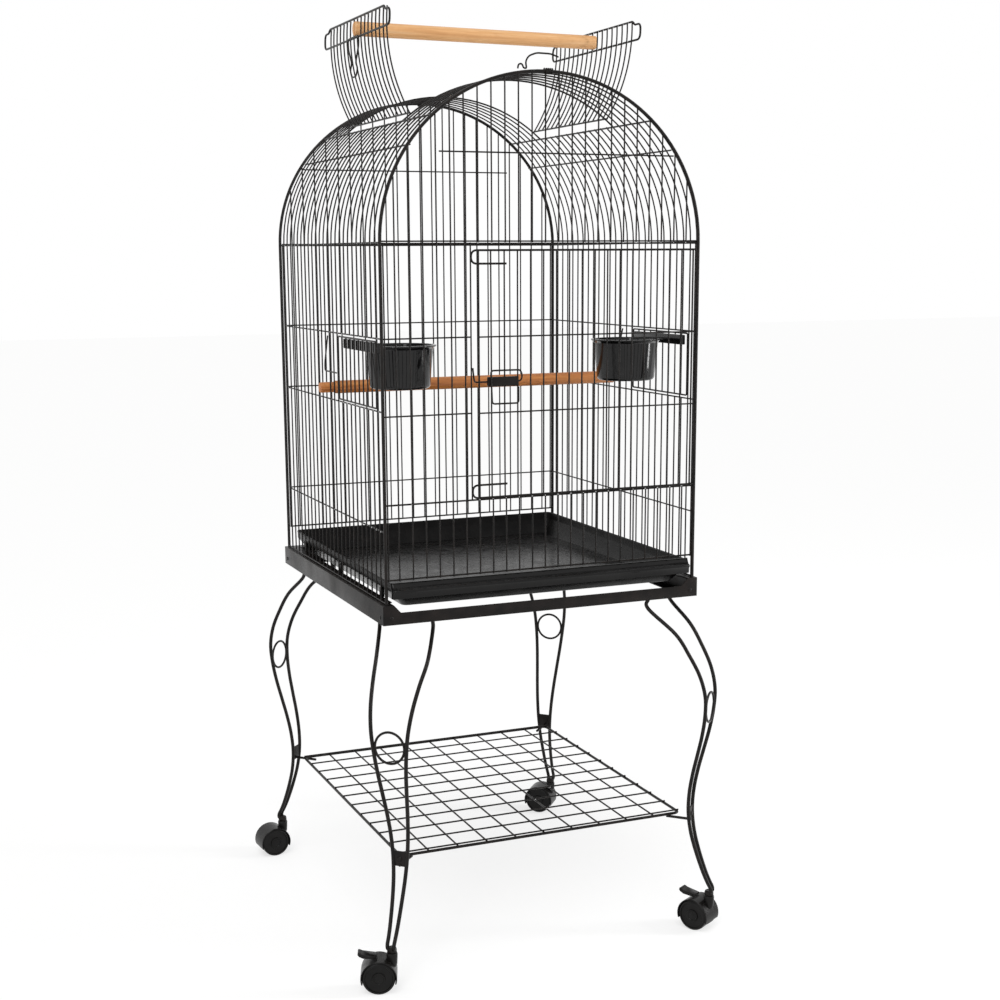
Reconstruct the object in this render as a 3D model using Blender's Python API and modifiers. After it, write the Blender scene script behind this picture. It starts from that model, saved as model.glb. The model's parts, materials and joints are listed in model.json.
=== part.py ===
"""Parrot cage with an open dome roof, on a rolling stand.

Metres, +Z up, the front faces -Y, the origin is on the floor under the middle of the cage.
"""
import math

import bmesh
import bpy
from mathutils import Matrix, Vector

# Fits between neighbouring pieces
GAP = 0.0003            # two pieces that touch
DOOR_PLAY = 0.0015      # around a door leaf in its opening
HINGE_PLAY = 0.0008     # between a feeder door's hinge wire and the wall
SLIDE_PLAY = 0.0080     # each side of the tray

# Wires and rods
WIRE = 0.0030           # grille wire, across
ARCH_ROD = 0.0050       # corner posts and arches, diameter
RAIL_ROD = 0.0034       # door rails and flap frames, diameter
LEG_ROD = 0.0060        # stand legs, diameter

# Cage body
CAGE_WIDTH = 0.510      # between the corner posts' centres, along X
CAGE_DEPTH = 0.530      # the same, along Y
STAND_TOP = 0.580       # height the cage stands on
SPRING = 1.100          # height where the dome starts
DOME_RISE = 0.240       # from there to the peak
WALL_FOOT = 0.6145      # lower edge of the front and back wall
HOOP_LOW = 0.6856       # three rows of wires round the sides and back
HOOP_MID = 0.8610
HOOP_HIGH = 0.9655
FRONT_COLUMNS = 24
SIDE_COLUMNS = 25

# Front wall and its door
SILL = 0.7265           # wire under the door opening
PANEL_COLUMNS = 6       # fixed panel at the left of the opening
PANEL_LAST = 0.0105     # from its last column to the wire along its edge
PANEL_MID = 0.8550
LATCH_ROOM = 0.0107     # from that wire to the door's first wire
HINGE_INSET = 0.0083    # from the right corner post to the door's hinge
DOOR_LIFT = 0.0035      # the bottom rail's height over the sill
DOOR_HIGH = 1.0890
DOOR_COLUMNS = 17
RAIL_HOOK = 0.0190      # how far a door rail's end is bent back

# Roof
ROOF_RAIL = 0.172       # half width of the roof opening
UPPER_RAIL = 0.210      # second rail on each side of the dome
STRIP_COLUMNS = 6       # columns of the dome in front of and behind the opening
LUNETTE_RAIL = 0.126    # wire across the dome's ends, above its foot
FLAP_HINGE_X = 0.162
FLAP_HEIGHT = 0.1464
FLAP_LEAN = 0.0422      # how far the top stands out over the hinge
FLAP_BULGE = 0.012
LEFT_FLAP_UP = math.radians(4.0)    # the left flap stands a little steeper
FLAP_HALF = 0.138       # half length along Y
FLAP_COLUMNS = 16
EAR = 0.022             # the flap frame's rounded ends

# Perches
ROOF_PERCH = 0.0215     # diameter
PERCH_POKE = 0.0015     # how far its ends reach past the flap frames' rods
PERCH_SLOT = 0.0044     # sawn over one flap wire
PERCH_SLIDE = 0.0100    # how far it slides to the right to come off the left flap
INNER_PERCH_Z = 0.879
INNER_PERCH = 0.0200
PERCH_SPIGOT = 0.0164   # turned-down ends between two wall wires
PERCH_OVERHANG = 0.0150

# Feeder doors and cups
FEEDER_FIRST = 1        # wall columns between which the opening lies
FEEDER_LAST = 10
CUP_Y = -0.155
CUP_INSET = 0.065       # from the wall to the middle of the cup
CUP_RADIUS = 0.051
CUP_HEIGHT = 0.064
CUP_WALL = 0.0022
CUP_RIM_Z = 0.9505
CUP_PLATE_LENGTH = 0.158
CUP_PLATE_HEIGHT = 0.0150
CUP_PLATE_REACH = 0.0100

# Tray
TRAY_HEIGHT = 0.030
TRAY_WALL = 0.0015
TRAY_LIP_WIDTH = 0.495

# Stand
STAND_WIDTH = 0.524
STAND_DEPTH = 0.539
STAND_RAIL = 0.030      # height of the stand's rails
STAND_FLANGE = 0.022
STAND_SHEET = 0.0020
FRONT_DROP = 0.012      # the front rail is lower in the middle
FOOT_Z = 0.065
RING_Z = 0.376
RING_ROD = 0.0040
RING_BITE = 0.0015      # how deep the ring is welded into the rods
BRACKET_Z = 0.195
BRACKET_HEIGHT = 0.024

# Shelf
SHELF_Z = 0.190
SHELF_WIDTH = 0.484
SHELF_DEPTH = 0.530
SHELF_CELL = 0.050
SHELF_ROD = 0.0050

# Casters
WHEEL_RADIUS = 0.025
WHEEL_WIDTH = 0.0150
CASTER_WEB = 0.0080     # the middle plate between the wheels
CASTER_TRAIL = 0.020    # from the stem to the axle
CASTER_TURNS = {"front_left": 160, "front_right": 120, "back_left": 185, "back_right": 140}
HOOD_WALL = 0.0018
HOOD_LIFT = 0.0085      # the hood ends this far under the axle
AXLE = 0.0060

HALF_W = CAGE_WIDTH / 2
HALF_D = CAGE_DEPTH / 2
INSIDE_W = HALF_W - ARCH_ROD / 2 - GAP
INSIDE_D = HALF_D - ARCH_ROD / 2 - GAP
DOOR_LOW = SILL + DOOR_LIFT
DOOR_HINGE = HALF_W - HINGE_INSET


def clear_scene():
    for item in list(bpy.data.objects):
        bpy.data.objects.remove(item, do_unlink=True)
    for group in list(bpy.data.collections):
        bpy.data.collections.remove(group)


def collection(name):
    group = bpy.data.collections.new(name)
    bpy.context.scene.collection.children.link(group)
    return group


clear_scene()
PARTS = collection("Parts")
CUTTERS = collection("Cutters")
PIVOTS = {}             # where a moving piece turns or slides


def material(name, color, roughness, metallic=0.0):
    made = bpy.data.materials.new(name)
    made.use_nodes = True
    shader = made.node_tree.nodes["Principled BSDF"]
    shader.inputs["Base Color"].default_value = (*color, 1.0)
    shader.inputs["Roughness"].default_value = roughness
    shader.inputs["Metallic"].default_value = metallic
    return made


BLACK_COAT = material("black_coat", (0.025, 0.021, 0.019), 0.42)
GLOSS_BLACK = material("gloss_black", (0.012, 0.012, 0.013), 0.16)
PALE_WOOD = material("pale_wood", (0.78, 0.55, 0.34), 0.55)
DARK_WOOD = material("dark_wood", (0.62, 0.30, 0.12), 0.50)
TREAD = material("tread", (0.030, 0.030, 0.032), 0.60)


def add_mesh(name, mesh_data, look, group=None):
    made = bpy.data.objects.new(name, mesh_data)
    (group or PARTS).objects.link(made)
    made.data.materials.clear()
    made.data.materials.append(look)
    return made


def mesh_of(bm, name):
    bmesh.ops.recalc_face_normals(bm, faces=bm.faces)
    data = bpy.data.meshes.new(name)
    bm.to_mesh(data)
    bm.free()
    return data


def as_helper(item):
    """Keep an operand of a Boolean out of the render."""
    for group in list(item.users_collection):
        group.objects.unlink(item)
    CUTTERS.objects.link(item)
    item.hide_render = True
    item.display_type = "WIRE"
    return item


def boolean(target, operand, operation):
    as_helper(operand)
    step = target.modifiers.new(operation.lower() + "_" + operand.name, "BOOLEAN")
    step.operation = operation
    step.solver = "EXACT"
    step.object = operand
    return target


def cut(target, operand):
    return boolean(target, operand, "DIFFERENCE")


def weld(target, operand):
    return boolean(target, operand, "UNION")


def box(name, low, high, look=BLACK_COAT):
    bm = bmesh.new()
    bmesh.ops.create_cube(bm, size=1.0)
    size = Vector(high) - Vector(low)
    middle = (Vector(high) + Vector(low)) / 2
    bmesh.ops.scale(bm, vec=size, verts=bm.verts)
    bmesh.ops.translate(bm, vec=middle, verts=bm.verts)
    return add_mesh(name, mesh_of(bm, name), look)


def prism(name, outline, low, high, look=BLACK_COAT):
    """An upright body over an outline in X and Y."""
    bm = bmesh.new()
    foot = [bm.verts.new((x, y, low)) for x, y in outline]
    face = bm.faces.new(foot)
    raised = bmesh.ops.extrude_face_region(bm, geom=[face])
    top = [item for item in raised["geom"] if isinstance(item, bmesh.types.BMVert)]
    bmesh.ops.translate(bm, vec=(0, 0, high - low), verts=top)
    return add_mesh(name, mesh_of(bm, name), look)


def cylinder(name, start, end, radius, sides=16, look=BLACK_COAT, radius_end=None):
    start = Vector(start)
    end = Vector(end)
    along = end - start
    bm = bmesh.new()
    bmesh.ops.create_cone(bm, cap_ends=True, segments=sides, radius1=radius,
                          radius2=radius if radius_end is None else radius_end,
                          depth=along.length)
    turn = Vector((0, 0, 1)).rotation_difference(along).to_matrix().to_4x4()
    bmesh.ops.transform(bm, matrix=Matrix.Translation((start + end) / 2) @ turn, verts=bm.verts)
    return add_mesh(name, mesh_of(bm, name), look)


def rounded(points, radius, steps=3, closed=False):
    """The path with each corner rounded off."""
    path = [Vector(p) for p in points]
    count = len(path)
    out = []
    for i, corner in enumerate(path):
        if not closed and i in (0, count - 1):
            out.append(corner)
            continue
        before = path[i - 1] - corner
        after = path[(i + 1) % count] - corner
        reach = min(radius, before.length * 0.49, after.length * 0.49)
        first = corner + before.normalized() * reach
        last = corner + after.normalized() * reach
        for k in range(steps + 1):
            t = k / steps
            out.append(first * (1 - t) ** 2 + corner * (2 * t * (1 - t)) + last * t ** 2)
    return out


def rod(name, path, diameter, closed=False, look=BLACK_COAT, sides_level=2):
    """A round wire along a path, as a closed mesh."""
    curve = bpy.data.curves.new(name + "_path", "CURVE")
    curve.dimensions = "3D"
    curve.bevel_depth = diameter / 2
    curve.bevel_resolution = sides_level
    curve.use_fill_caps = not closed
    spline = curve.splines.new("POLY")
    spline.points.add(len(path) - 1)
    for point, place in zip(spline.points, path):
        point.co = (*place, 1.0)
    spline.use_cyclic_u = closed
    holder = bpy.data.objects.new(name + "_path", curve)
    PARTS.objects.link(holder)
    bpy.context.view_layer.update()
    seen = holder.evaluated_get(bpy.context.evaluated_depsgraph_get())
    data = bpy.data.meshes.new_from_object(seen)
    bpy.data.objects.remove(holder, do_unlink=True)
    bm = bmesh.new()
    bm.from_mesh(data)
    bmesh.ops.remove_doubles(bm, verts=bm.verts, dist=0.00001)
    bpy.data.meshes.remove(data)
    return add_mesh(name, mesh_of(bm, name), look)


def key(point):
    return (round(point[0], 6), round(point[1], 6))


def with_neighbours(cell, corners):
    """The cell's outline, with the corners of other cells that lie on its edges."""
    out = []
    for i, start in enumerate(cell):
        end = cell[(i + 1) % len(cell)]
        a = Vector(start)
        side = Vector(end) - a
        found = []
        for corner in corners:
            offset = Vector(corner) - a
            along = offset.dot(side) / side.length_squared
            if -1e-6 < along < 1 - 1e-6 and abs(offset.cross(side)) / side.length < 1e-6:
                found.append((along, corner))
        out += [corner for _, corner in sorted(found)]
    return out


def inner_corner(before, here, after, inset_before, inset_after):
    """Where the opening's corner lies, a wire's width inside the cell's corner."""
    p = Vector(here)
    d1 = (p - Vector(before)).normalized()
    d2 = (Vector(after) - p).normalized()
    n1 = Vector((-d1.y, d1.x))
    n2 = Vector((-d2.y, d2.x))
    turn = n1.cross(n2)
    if abs(turn) < 1e-4:
        return p + n1 * max(inset_before, inset_after)
    c1 = p.dot(n1) + inset_before
    c2 = p.dot(n2) + inset_after
    return Vector(((c1 * n2.y - c2 * n1.y) / turn, (n1.x * c2 - n2.x * c1) / turn))


def lattice(name, cells, place, wire=WIRE, thickness=WIRE, look=BLACK_COAT):
    """A welded grille: one wire along every side of every cell, half of it inside the cell.

    The cells are outlines in a flat pattern, and place() puts a point of the pattern in space.
    At the pattern's own outline the whole wire lies inside.
    """
    cells = [[key(p) for p in cell] for cell in cells]
    corners = {p for cell in cells for p in cell}
    outlines = [with_neighbours(cell, corners) for cell in cells]
    uses = {}
    for outline in outlines:
        for i, p in enumerate(outline):
            side = frozenset((p, outline[(i + 1) % len(outline)]))
            uses[side] = uses.get(side, 0) + 1
    bm = bmesh.new()
    shared = {}
    for outline in outlines:
        count = len(outline)
        insets = []
        for i, p in enumerate(outline):
            single = uses[frozenset((p, outline[(i + 1) % count]))] == 1
            insets.append(wire if single else wire / 2)
        outer = []
        inner = []
        for i, p in enumerate(outline):
            if p not in shared:
                shared[p] = bm.verts.new(place(*p))
            outer.append(shared[p])
            hole = inner_corner(outline[i - 1], p, outline[(i + 1) % count],
                                insets[i - 1], insets[i])
            inner.append(bm.verts.new(place(*hole)))
        for i in range(count):
            j = (i + 1) % count
            bm.faces.new((outer[i], outer[j], inner[j], inner[i]))
    made = add_mesh(name, mesh_of(bm, name), look)
    solid = made.modifiers.new("wire_thickness", "SOLIDIFY")
    solid.thickness = thickness
    solid.offset = 0.0
    solid.use_even_offset = True
    return made


def cell(u0, u1, v0, v1):
    return [(u0, v0), (u1, v0), (u1, v1), (u0, v1)]


def spread(first, last, count):
    return [first + (last - first) * i / count for i in range(count + 1)]


# Walls

WALL_TOP = SPRING - GAP / 2
SIDE_FOOT = STAND_TOP + GAP
side_lines = spread(-INSIDE_D, INSIDE_D, SIDE_COLUMNS)
front_lines = [-HALF_W + CAGE_WIDTH * i / FRONT_COLUMNS for i in range(FRONT_COLUMNS + 1)]
front_lines[0] = -INSIDE_W
front_lines[-1] = INSIDE_W

back_cells = [cell(a, b, WALL_FOOT, WALL_TOP) for a, b in zip(front_lines, front_lines[1:])]
lattice("back_wall", back_cells, lambda u, v: Vector((u, HALF_D, v)))

front_cells = [cell(a, b, WALL_FOOT, SILL) for a, b in zip(front_lines, front_lines[1:])]
panel_edge = front_lines[PANEL_COLUMNS] + PANEL_LAST
panel_lines = front_lines[:PANEL_COLUMNS + 1] + [panel_edge]
panel_heights = [SILL, PANEL_MID, HOOP_HIGH, WALL_TOP]
for a, b in zip(panel_lines, panel_lines[1:]):
    front_cells += [cell(a, b, low, high) for low, high in zip(panel_heights, panel_heights[1:])]
front_cells.append(cell(panel_edge, INSIDE_W, SILL, WALL_TOP))
lattice("front_wall", front_cells, lambda u, v: Vector((u, -HALF_D, v)))

feeder_from = side_lines[FEEDER_FIRST]
feeder_to = side_lines[FEEDER_LAST]


def side_cells():
    cells = []
    for i, (a, b) in enumerate(zip(side_lines, side_lines[1:])):
        if FEEDER_FIRST <= i < FEEDER_LAST:
            cells.append(cell(a, b, SIDE_FOOT, HOOP_MID))
            cells.append(cell(a, b, HOOP_HIGH, WALL_TOP))
        else:
            cells.append(cell(a, b, SIDE_FOOT, WALL_TOP))
    cells.append(cell(feeder_from, feeder_to, HOOP_MID, HOOP_HIGH))
    return cells


lattice("left_wall", side_cells(), lambda u, v: Vector((-HALF_W, u, v)))
lattice("right_wall", side_cells(), lambda u, v: Vector((HALF_W, u, v)))

# Rows of wires inside the side and back walls

hoop_x = HALF_W - WIRE - GAP
hoop_y = HALF_D - WIRE - GAP
for hoop_name, hoop_z in (("hoop_low", HOOP_LOW), ("hoop_mid", HOOP_MID), ("hoop_high", HOOP_HIGH)):
    corners = [(-hoop_x, -INSIDE_D, hoop_z), (-hoop_x, hoop_y, hoop_z),
               (hoop_x, hoop_y, hoop_z), (hoop_x, -INSIDE_D, hoop_z)]
    rod(hoop_name, rounded(corners, 0.012), WIRE)

# Dome

DOME_FOOT = SPRING + GAP / 2


def dome_point(angle, shrink=0.0):
    """A point of the dome's section, the angle counted from its foot on the right."""
    return Vector(((HALF_W - shrink) * math.cos(angle), (DOME_RISE - shrink) * math.sin(angle)))


def dome_height(x, shrink=0.0):
    share = min(abs(x) / (HALF_W - shrink), 1.0)
    return (DOME_RISE - shrink) * math.sqrt(1 - share * share)


ARCH_STEPS = 24
for arch_name, arch_y in (("front_arch", -HALF_D), ("back_arch", HALF_D)):
    path = [Vector((HALF_W, arch_y, SIDE_FOOT))]
    for i in range(ARCH_STEPS + 1):
        p = dome_point(math.pi * i / ARCH_STEPS)
        path.append(Vector((p.x, arch_y, SPRING + p.y)))
    path.append(Vector((-HALF_W, arch_y, SIDE_FOOT)))
    rod(arch_name, path, ARCH_ROD)

VAULT_TOP = math.acos(ROOF_RAIL / HALF_W)
RAIL_ANGLE = math.acos(UPPER_RAIL / HALF_W)
VAULT_STEPS = 3
vault_angles = spread(0.0, RAIL_ANGLE, VAULT_STEPS) + [VAULT_TOP]


def arc_lengths(angles):
    lengths = [0.0]
    for a, b in zip(angles, angles[1:]):
        lengths.append(lengths[-1] + (dome_point(b) - dome_point(a)).length)
    return lengths


def on_arc(angles, lengths, v):
    """The section's point at a length along its chords."""
    for i in range(len(lengths) - 1):
        if v <= lengths[i + 1] + 1e-9 or i == len(lengths) - 2:
            share = (v - lengths[i]) / (lengths[i + 1] - lengths[i])
            return dome_point(angles[i]).lerp(dome_point(angles[i + 1]), share)


def strip_cell(u0, u1, stops):
    """A long cell whose sides bend at every stop."""
    return [(u0, v) for v in reversed(stops)] + [(u1, v) for v in stops]


vault_lengths = arc_lengths(vault_angles)
vault_stops = [DOME_FOOT - SPRING] + vault_lengths[1:]
for vault_name, side in (("left_vault", -1), ("right_vault", 1)):
    def place_vault(u, v, side=side):
        p = on_arc(vault_angles, vault_lengths, v)
        return Vector((side * p.x, u, SPRING + p.y))

    lattice(vault_name, [strip_cell(a, b, vault_stops) for a, b in zip(side_lines, side_lines[1:])],
            place_vault)

STRIP_STEPS = 5
strip_start = math.acos((ROOF_RAIL - GAP * 3) / HALF_W)
strip_angles = spread(strip_start, math.pi - strip_start, STRIP_STEPS)
strip_lengths = arc_lengths(strip_angles)


def place_strip(u, v):
    p = on_arc(strip_angles, strip_lengths, v)
    return Vector((p.x, u, SPRING + p.y))


front_strip_lines = side_lines[:STRIP_COLUMNS + 1]
back_strip_lines = side_lines[-STRIP_COLUMNS - 1:]
for strip_name, lines in (("front_strip", front_strip_lines), ("back_strip", back_strip_lines)):
    lattice(strip_name, [strip_cell(a, b, strip_lengths) for a, b in zip(lines, lines[1:])], place_strip)

# A rail along each side of the dome, under its wires
rail_z = SPRING + dome_height(UPPER_RAIL)
slope = Vector((UPPER_RAIL / HALF_W ** 2, (rail_z - SPRING) / DOME_RISE ** 2)).normalized()
rail_drop = WIRE + GAP + 0.0006
for rail_name, side in (("left_roof_rail", -1), ("right_roof_rail", 1)):
    x = side * (UPPER_RAIL - slope.x * rail_drop)
    z = rail_z - slope.y * rail_drop
    rod(rail_name, [Vector((x, -INSIDE_D, z)), Vector((x, INSIDE_D, z))], WIRE)

# Ends of the dome

LUNETTE_FROM = -0.164
LUNETTE_SHRINK = ARCH_ROD / 2 + GAP + 0.0009


def lunette_cells():
    lines = [x for x in front_lines]
    lines[0] = -INSIDE_W + 0.0001
    lines[-1] = INSIDE_W - 0.0001
    cells = []
    for a, b in zip(lines, lines[1:]):
        top_a = dome_height(a, LUNETTE_SHRINK)
        top_b = dome_height(b, LUNETTE_SHRINK)
        start = DOME_FOOT - SPRING
        middle = (a + b) / 2
        outer = [(middle, dome_height(middle, LUNETTE_SHRINK))] if abs(middle) > HALF_W * 0.85 else []
        corners = [(a, start), (b, start)]
        if top_b > start + WIRE * 2:
            corners.append((b, top_b))
        corners += outer
        if top_a > start + WIRE * 2:
            corners.append((a, top_a))
        cells.append(corners)
    return cells


lattice("front_lunette", lunette_cells(), lambda u, v: Vector((u, -HALF_D, SPRING + v)))
lattice("back_lunette", lunette_cells(), lambda u, v: Vector((-u, HALF_D, SPRING + v)))
cross_reach = (HALF_W - ARCH_ROD) * math.sqrt(1 - (LUNETTE_RAIL / (DOME_RISE - ARCH_ROD)) ** 2)
for cross_name, side in (("front_lunette_cross", -1), ("back_lunette_cross", 1)):
    y = side * (HALF_D - WIRE - GAP)
    z = SPRING + LUNETTE_RAIL
    rod(cross_name, [Vector((-side * LUNETTE_FROM, y, z)), Vector((-side * cross_reach, y, z))], WIRE)

# Front door

door_left = panel_edge + LATCH_ROOM
rail_y = -HALF_D - WIRE / 2 - GAP - RAIL_ROD / 2
door_lines = spread(door_left - WIRE / 2, DOOR_HINGE + WIRE / 2, DOOR_COLUMNS)
door_foot = SILL + WIRE / 2 + DOOR_PLAY
door_cells = [cell(a, b, door_foot, DOOR_HIGH + WIRE / 2) for a, b in zip(door_lines, door_lines[1:])]
lattice("front_door", door_cells, lambda u, v: Vector((u, -HALF_D, v)))
HOOK_TIP = 0.0125
HOOK_RETURN = 0.0550
hook_x = door_left - HOOK_TIP
for rail_name, z, back in (("door_top_rail", DOOR_HIGH, -RAIL_HOOK),
                           ("door_bottom_rail", DOOR_LOW, RAIL_HOOK)):
    corners = [(DOOR_HINGE, rail_y, z), (hook_x, rail_y, z),
               (hook_x, rail_y, z + back), (hook_x + HOOK_RETURN, rail_y, z + back)]
    rod(rail_name, rounded(corners, abs(RAIL_HOOK) * 0.48), RAIL_ROD)
for cross_name, z in (("door_cross_low", PANEL_MID), ("door_cross_high", HOOP_HIGH)):
    y = rail_y + (RAIL_ROD - WIRE) / 2
    rod(cross_name, [Vector((door_left, y, z)), Vector((DOOR_HINGE, y, z))], WIRE)

door_axis = Vector((DOOR_HINGE, rail_y, (DOOR_LOW + DOOR_HIGH) / 2))
for name in ("front_door", "door_top_rail", "door_bottom_rail", "door_cross_low", "door_cross_high",
             "door_latch_sleeve"):
    PIVOTS[name] = door_axis

# Front door latch: a sleeve on the door and a bent wire that slides in it

LATCH_Z = 0.9005
LATCH_WIRE = 0.0026
SLEEVE_INSET = 0.0113
SLEEVE_LENGTH = 0.0480
SLEEVE_HEIGHT = 0.0140
SLEEVE_DEPTH = 0.0070
LOOP_UP = 0.0165        # the wire's loop over and under the sleeve
LOOP_DOWN = 0.0320
sleeve_from = door_left + SLEEVE_INSET
sleeve_to = sleeve_from + SLEEVE_LENGTH
sleeve_y = -HALF_D - WIRE / 2 - GAP - SLEEVE_DEPTH / 2
latch_sleeve = box("door_latch_sleeve",
                   (sleeve_from, sleeve_y - SLEEVE_DEPTH / 2, LATCH_Z - SLEEVE_HEIGHT / 2),
                   (sleeve_to, sleeve_y + SLEEVE_DEPTH / 2, LATCH_Z + SLEEVE_HEIGHT / 2))
cut(latch_sleeve, cylinder("sleeve_bore", (sleeve_from - SLEEVE_DEPTH, sleeve_y, LATCH_Z),
                           (sleeve_to + SLEEVE_DEPTH, sleeve_y, LATCH_Z), LATCH_WIRE / 2 + GAP * 2, 12))
hook_gap_x = (door_left + panel_edge) / 2
loop_y = sleeve_y - SLEEVE_DEPTH / 2 - GAP - LATCH_WIRE / 2
corners = [(hook_gap_x - 0.0022, -HALF_D + 0.006, LATCH_Z + 0.020),
           (hook_gap_x, -HALF_D + 0.006, LATCH_Z),
           (hook_gap_x, sleeve_y, LATCH_Z),
           (sleeve_to + 0.005, sleeve_y, LATCH_Z),
           (sleeve_to + 0.005, loop_y, LATCH_Z + 0.008),
           (sleeve_to + 0.002, loop_y, LATCH_Z + LOOP_UP),
           (sleeve_from + 0.003, loop_y, LATCH_Z + LOOP_UP),
           (sleeve_from + 0.005, loop_y, LATCH_Z - LOOP_DOWN),
           (sleeve_to - 0.001, loop_y, LATCH_Z - LOOP_DOWN),
           (sleeve_to - 0.001, loop_y, LATCH_Z - 0.008)]
rod("door_latch_hook", rounded(corners, 0.004, 2), LATCH_WIRE)

PIVOTS["door_latch_hook"] = Vector((hook_gap_x, sleeve_y, LATCH_Z))

# Feeder doors in the side walls, behind the cups, and their latches

feeder_low = HOOP_MID + WIRE / 2 + DOOR_PLAY
feeder_high = HOOP_HIGH - WIRE / 2 - DOOR_PLAY
feeder_start = feeder_from + WIRE / 2 + HINGE_PLAY
feeder_end = feeder_to - WIRE / 2 - DOOR_PLAY
feeder_lines = spread(feeder_start, feeder_end, FEEDER_LAST - FEEDER_FIRST)
latch_x = HALF_W + WIRE / 2 + GAP + LATCH_WIRE / 2
LATCH_ROW = 0.905
for side_name, side in (("left", -1), ("right", 1)):
    lattice(side_name + "_feeder_door",
            [cell(a, b, feeder_low, feeder_high) for a, b in zip(feeder_lines, feeder_lines[1:])],
            lambda u, v, side=side: Vector((side * HALF_W, u, v)))
    x = side * latch_x
    start = feeder_to - 0.0010
    corners = [(x, start, LATCH_ROW), (x, start + 0.060, LATCH_ROW),
               (x, start + 0.060, LATCH_ROW + 0.012), (x, start + 0.042, LATCH_ROW + 0.055)]
    rod(side_name + "_feeder_latch", rounded(corners, 0.004, 2), LATCH_WIRE)
    PIVOTS[side_name + "_feeder_door"] = Vector((side * HALF_W, feeder_start + WIRE / 2, LATCH_ROW))
    PIVOTS[side_name + "_feeder_latch"] = Vector((x, start, LATCH_ROW))

# Roof flaps

# The bottom wire of a flap turns on the strips' wires, so its corners have to clear them
strip_foot = dome_point(strip_angles[0])
strip_bend = dome_point(strip_angles[1])
strip_slope = (strip_bend.y - strip_foot.y) / (strip_foot.x - strip_bend.x)
flap_seat = (WIRE / 2 + math.hypot(WIRE / 2, WIRE / 2) + GAP) * math.hypot(1.0, strip_slope)
hinge_height = SPRING + strip_foot.y + (strip_foot.x - FLAP_HINGE_X) * strip_slope + flap_seat
flap_angle = math.atan2(FLAP_HEIGHT, FLAP_LEAN)
flap_chord = math.hypot(FLAP_HEIGHT, FLAP_LEAN)
FLAP_STEPS = 4


def flap_point(share, out=0.0, up=0.0):
    """A point of the flap's section, from the hinge (0) to the top (1), moved outward by out."""
    bulge = FLAP_BULGE * 4 * share * (1 - share)
    tilt = math.atan2(FLAP_BULGE * 4 * (1 - 2 * share), flap_chord)
    along = Vector((math.cos(flap_angle + up), math.sin(flap_angle + up)))
    outward = Vector((along.y, -along.x))
    normal = outward * math.cos(tilt) - along * math.sin(tilt)
    return Vector((FLAP_HINGE_X, hinge_height)) + along * flap_chord * share + outward * bulge + normal * out


flap_stops = [-WIRE / 2] + spread(0.0, flap_chord, FLAP_STEPS)[1:]
flap_lines = spread(-FLAP_HALF - WIRE / 2, FLAP_HALF + WIRE / 2, FLAP_COLUMNS)
frame_out = WIRE / 2 + GAP + RAIL_ROD / 2
FRAME_LOW = 0.820       # where the lower rod crosses the flap, as a share of its height
for side_name, side, up in (("left", -1, LEFT_FLAP_UP), ("right", 1, 0.0)):
    def place_flap(u, v, side=side, up=up):
        p = flap_point(v / flap_chord, up=up)
        return Vector((side * p.x, u, p.y))

    lattice(side_name + "_flap", [strip_cell(a, b, flap_stops) for a, b in zip(flap_lines, flap_lines[1:])],
            place_flap)
    top = flap_point(1.0, frame_out, up)
    ear_top = flap_point(0.965, frame_out, up)
    low = flap_point(FRAME_LOW, frame_out, up)
    loop = []
    for end in (-1, 1):
        ear = [(side * top.x, end * (FLAP_HALF - 0.004), top.y),
               (side * ear_top.x, end * (FLAP_HALF + 0.002), ear_top.y),
               (side * ear_top.x, end * (FLAP_HALF + EAR), ear_top.y),
               (side * low.x, end * (FLAP_HALF + EAR), low.y)]
        loop += ear if end < 0 else reversed(ear)
    rod(side_name + "_flap_frame", rounded(loop, 0.009, 2, closed=True), RAIL_ROD, closed=True, sides_level=1)
    PIVOTS[side_name + "_flap"] = Vector((side * FLAP_HINGE_X, 0, hinge_height))
    PIVOTS[side_name + "_flap_frame"] = PIVOTS[side_name + "_flap"]

# Flap latch: a wire hook that hangs on the left flap's lower rod

latch_out = frame_out + RAIL_ROD / 2 + GAP + LATCH_WIRE / 2
latch_top = flap_point(FRAME_LOW, latch_out, LEFT_FLAP_UP)


def latch_point(y, down):
    return Vector((-latch_top.x, y, latch_top.y - down))


loop = [latch_point(-0.030, 0.000), latch_point(-0.026, 0.014), latch_point(-0.007, 0.026),
        latch_point(-0.007, 0.058), latch_point(0.007, 0.058), latch_point(0.007, 0.026),
        latch_point(0.026, 0.014), latch_point(0.030, 0.000)]
rod("flap_latch", rounded(loop, 0.006, 1, closed=True), LATCH_WIRE, closed=True, sides_level=1)
latch_rod = flap_point(FRAME_LOW, frame_out, LEFT_FLAP_UP)
PIVOTS["flap_latch"] = Vector((-latch_rod.x, 0, latch_rod.y))

# Roof latches: bent wires at the peak, one up, one folded down

LATCH_EYE = 0.033       # middle of the latch's eye, from the peak
HOOK = [(-0.041, 0.005), (-0.042, 0.000), (-0.025, 0.000), (-0.030, 0.010), (-0.026, 0.018),
        (-0.014, 0.0225), (0.008, 0.0220), (0.020, 0.018)]
hook_z = SPRING + dome_height(LATCH_EYE) + ARCH_ROD / 2 + GAP + LATCH_WIRE / 2
path = [Vector((x, -HALF_D, hook_z + z)) for x, z in HOOK]
rod("front_roof_latch", rounded(path, 0.003, 1), LATCH_WIRE, sides_level=1)
path = [Vector((-x, HALF_D - z, hook_z)) for x, z in HOOK]
rod("back_roof_latch", rounded(path, 0.003, 1), LATCH_WIRE, sides_level=1)
PIVOTS["front_roof_latch"] = Vector((-LATCH_EYE, -HALF_D, hook_z))
PIVOTS["back_roof_latch"] = Vector((LATCH_EYE, HALF_D, hook_z))

# Perches

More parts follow.
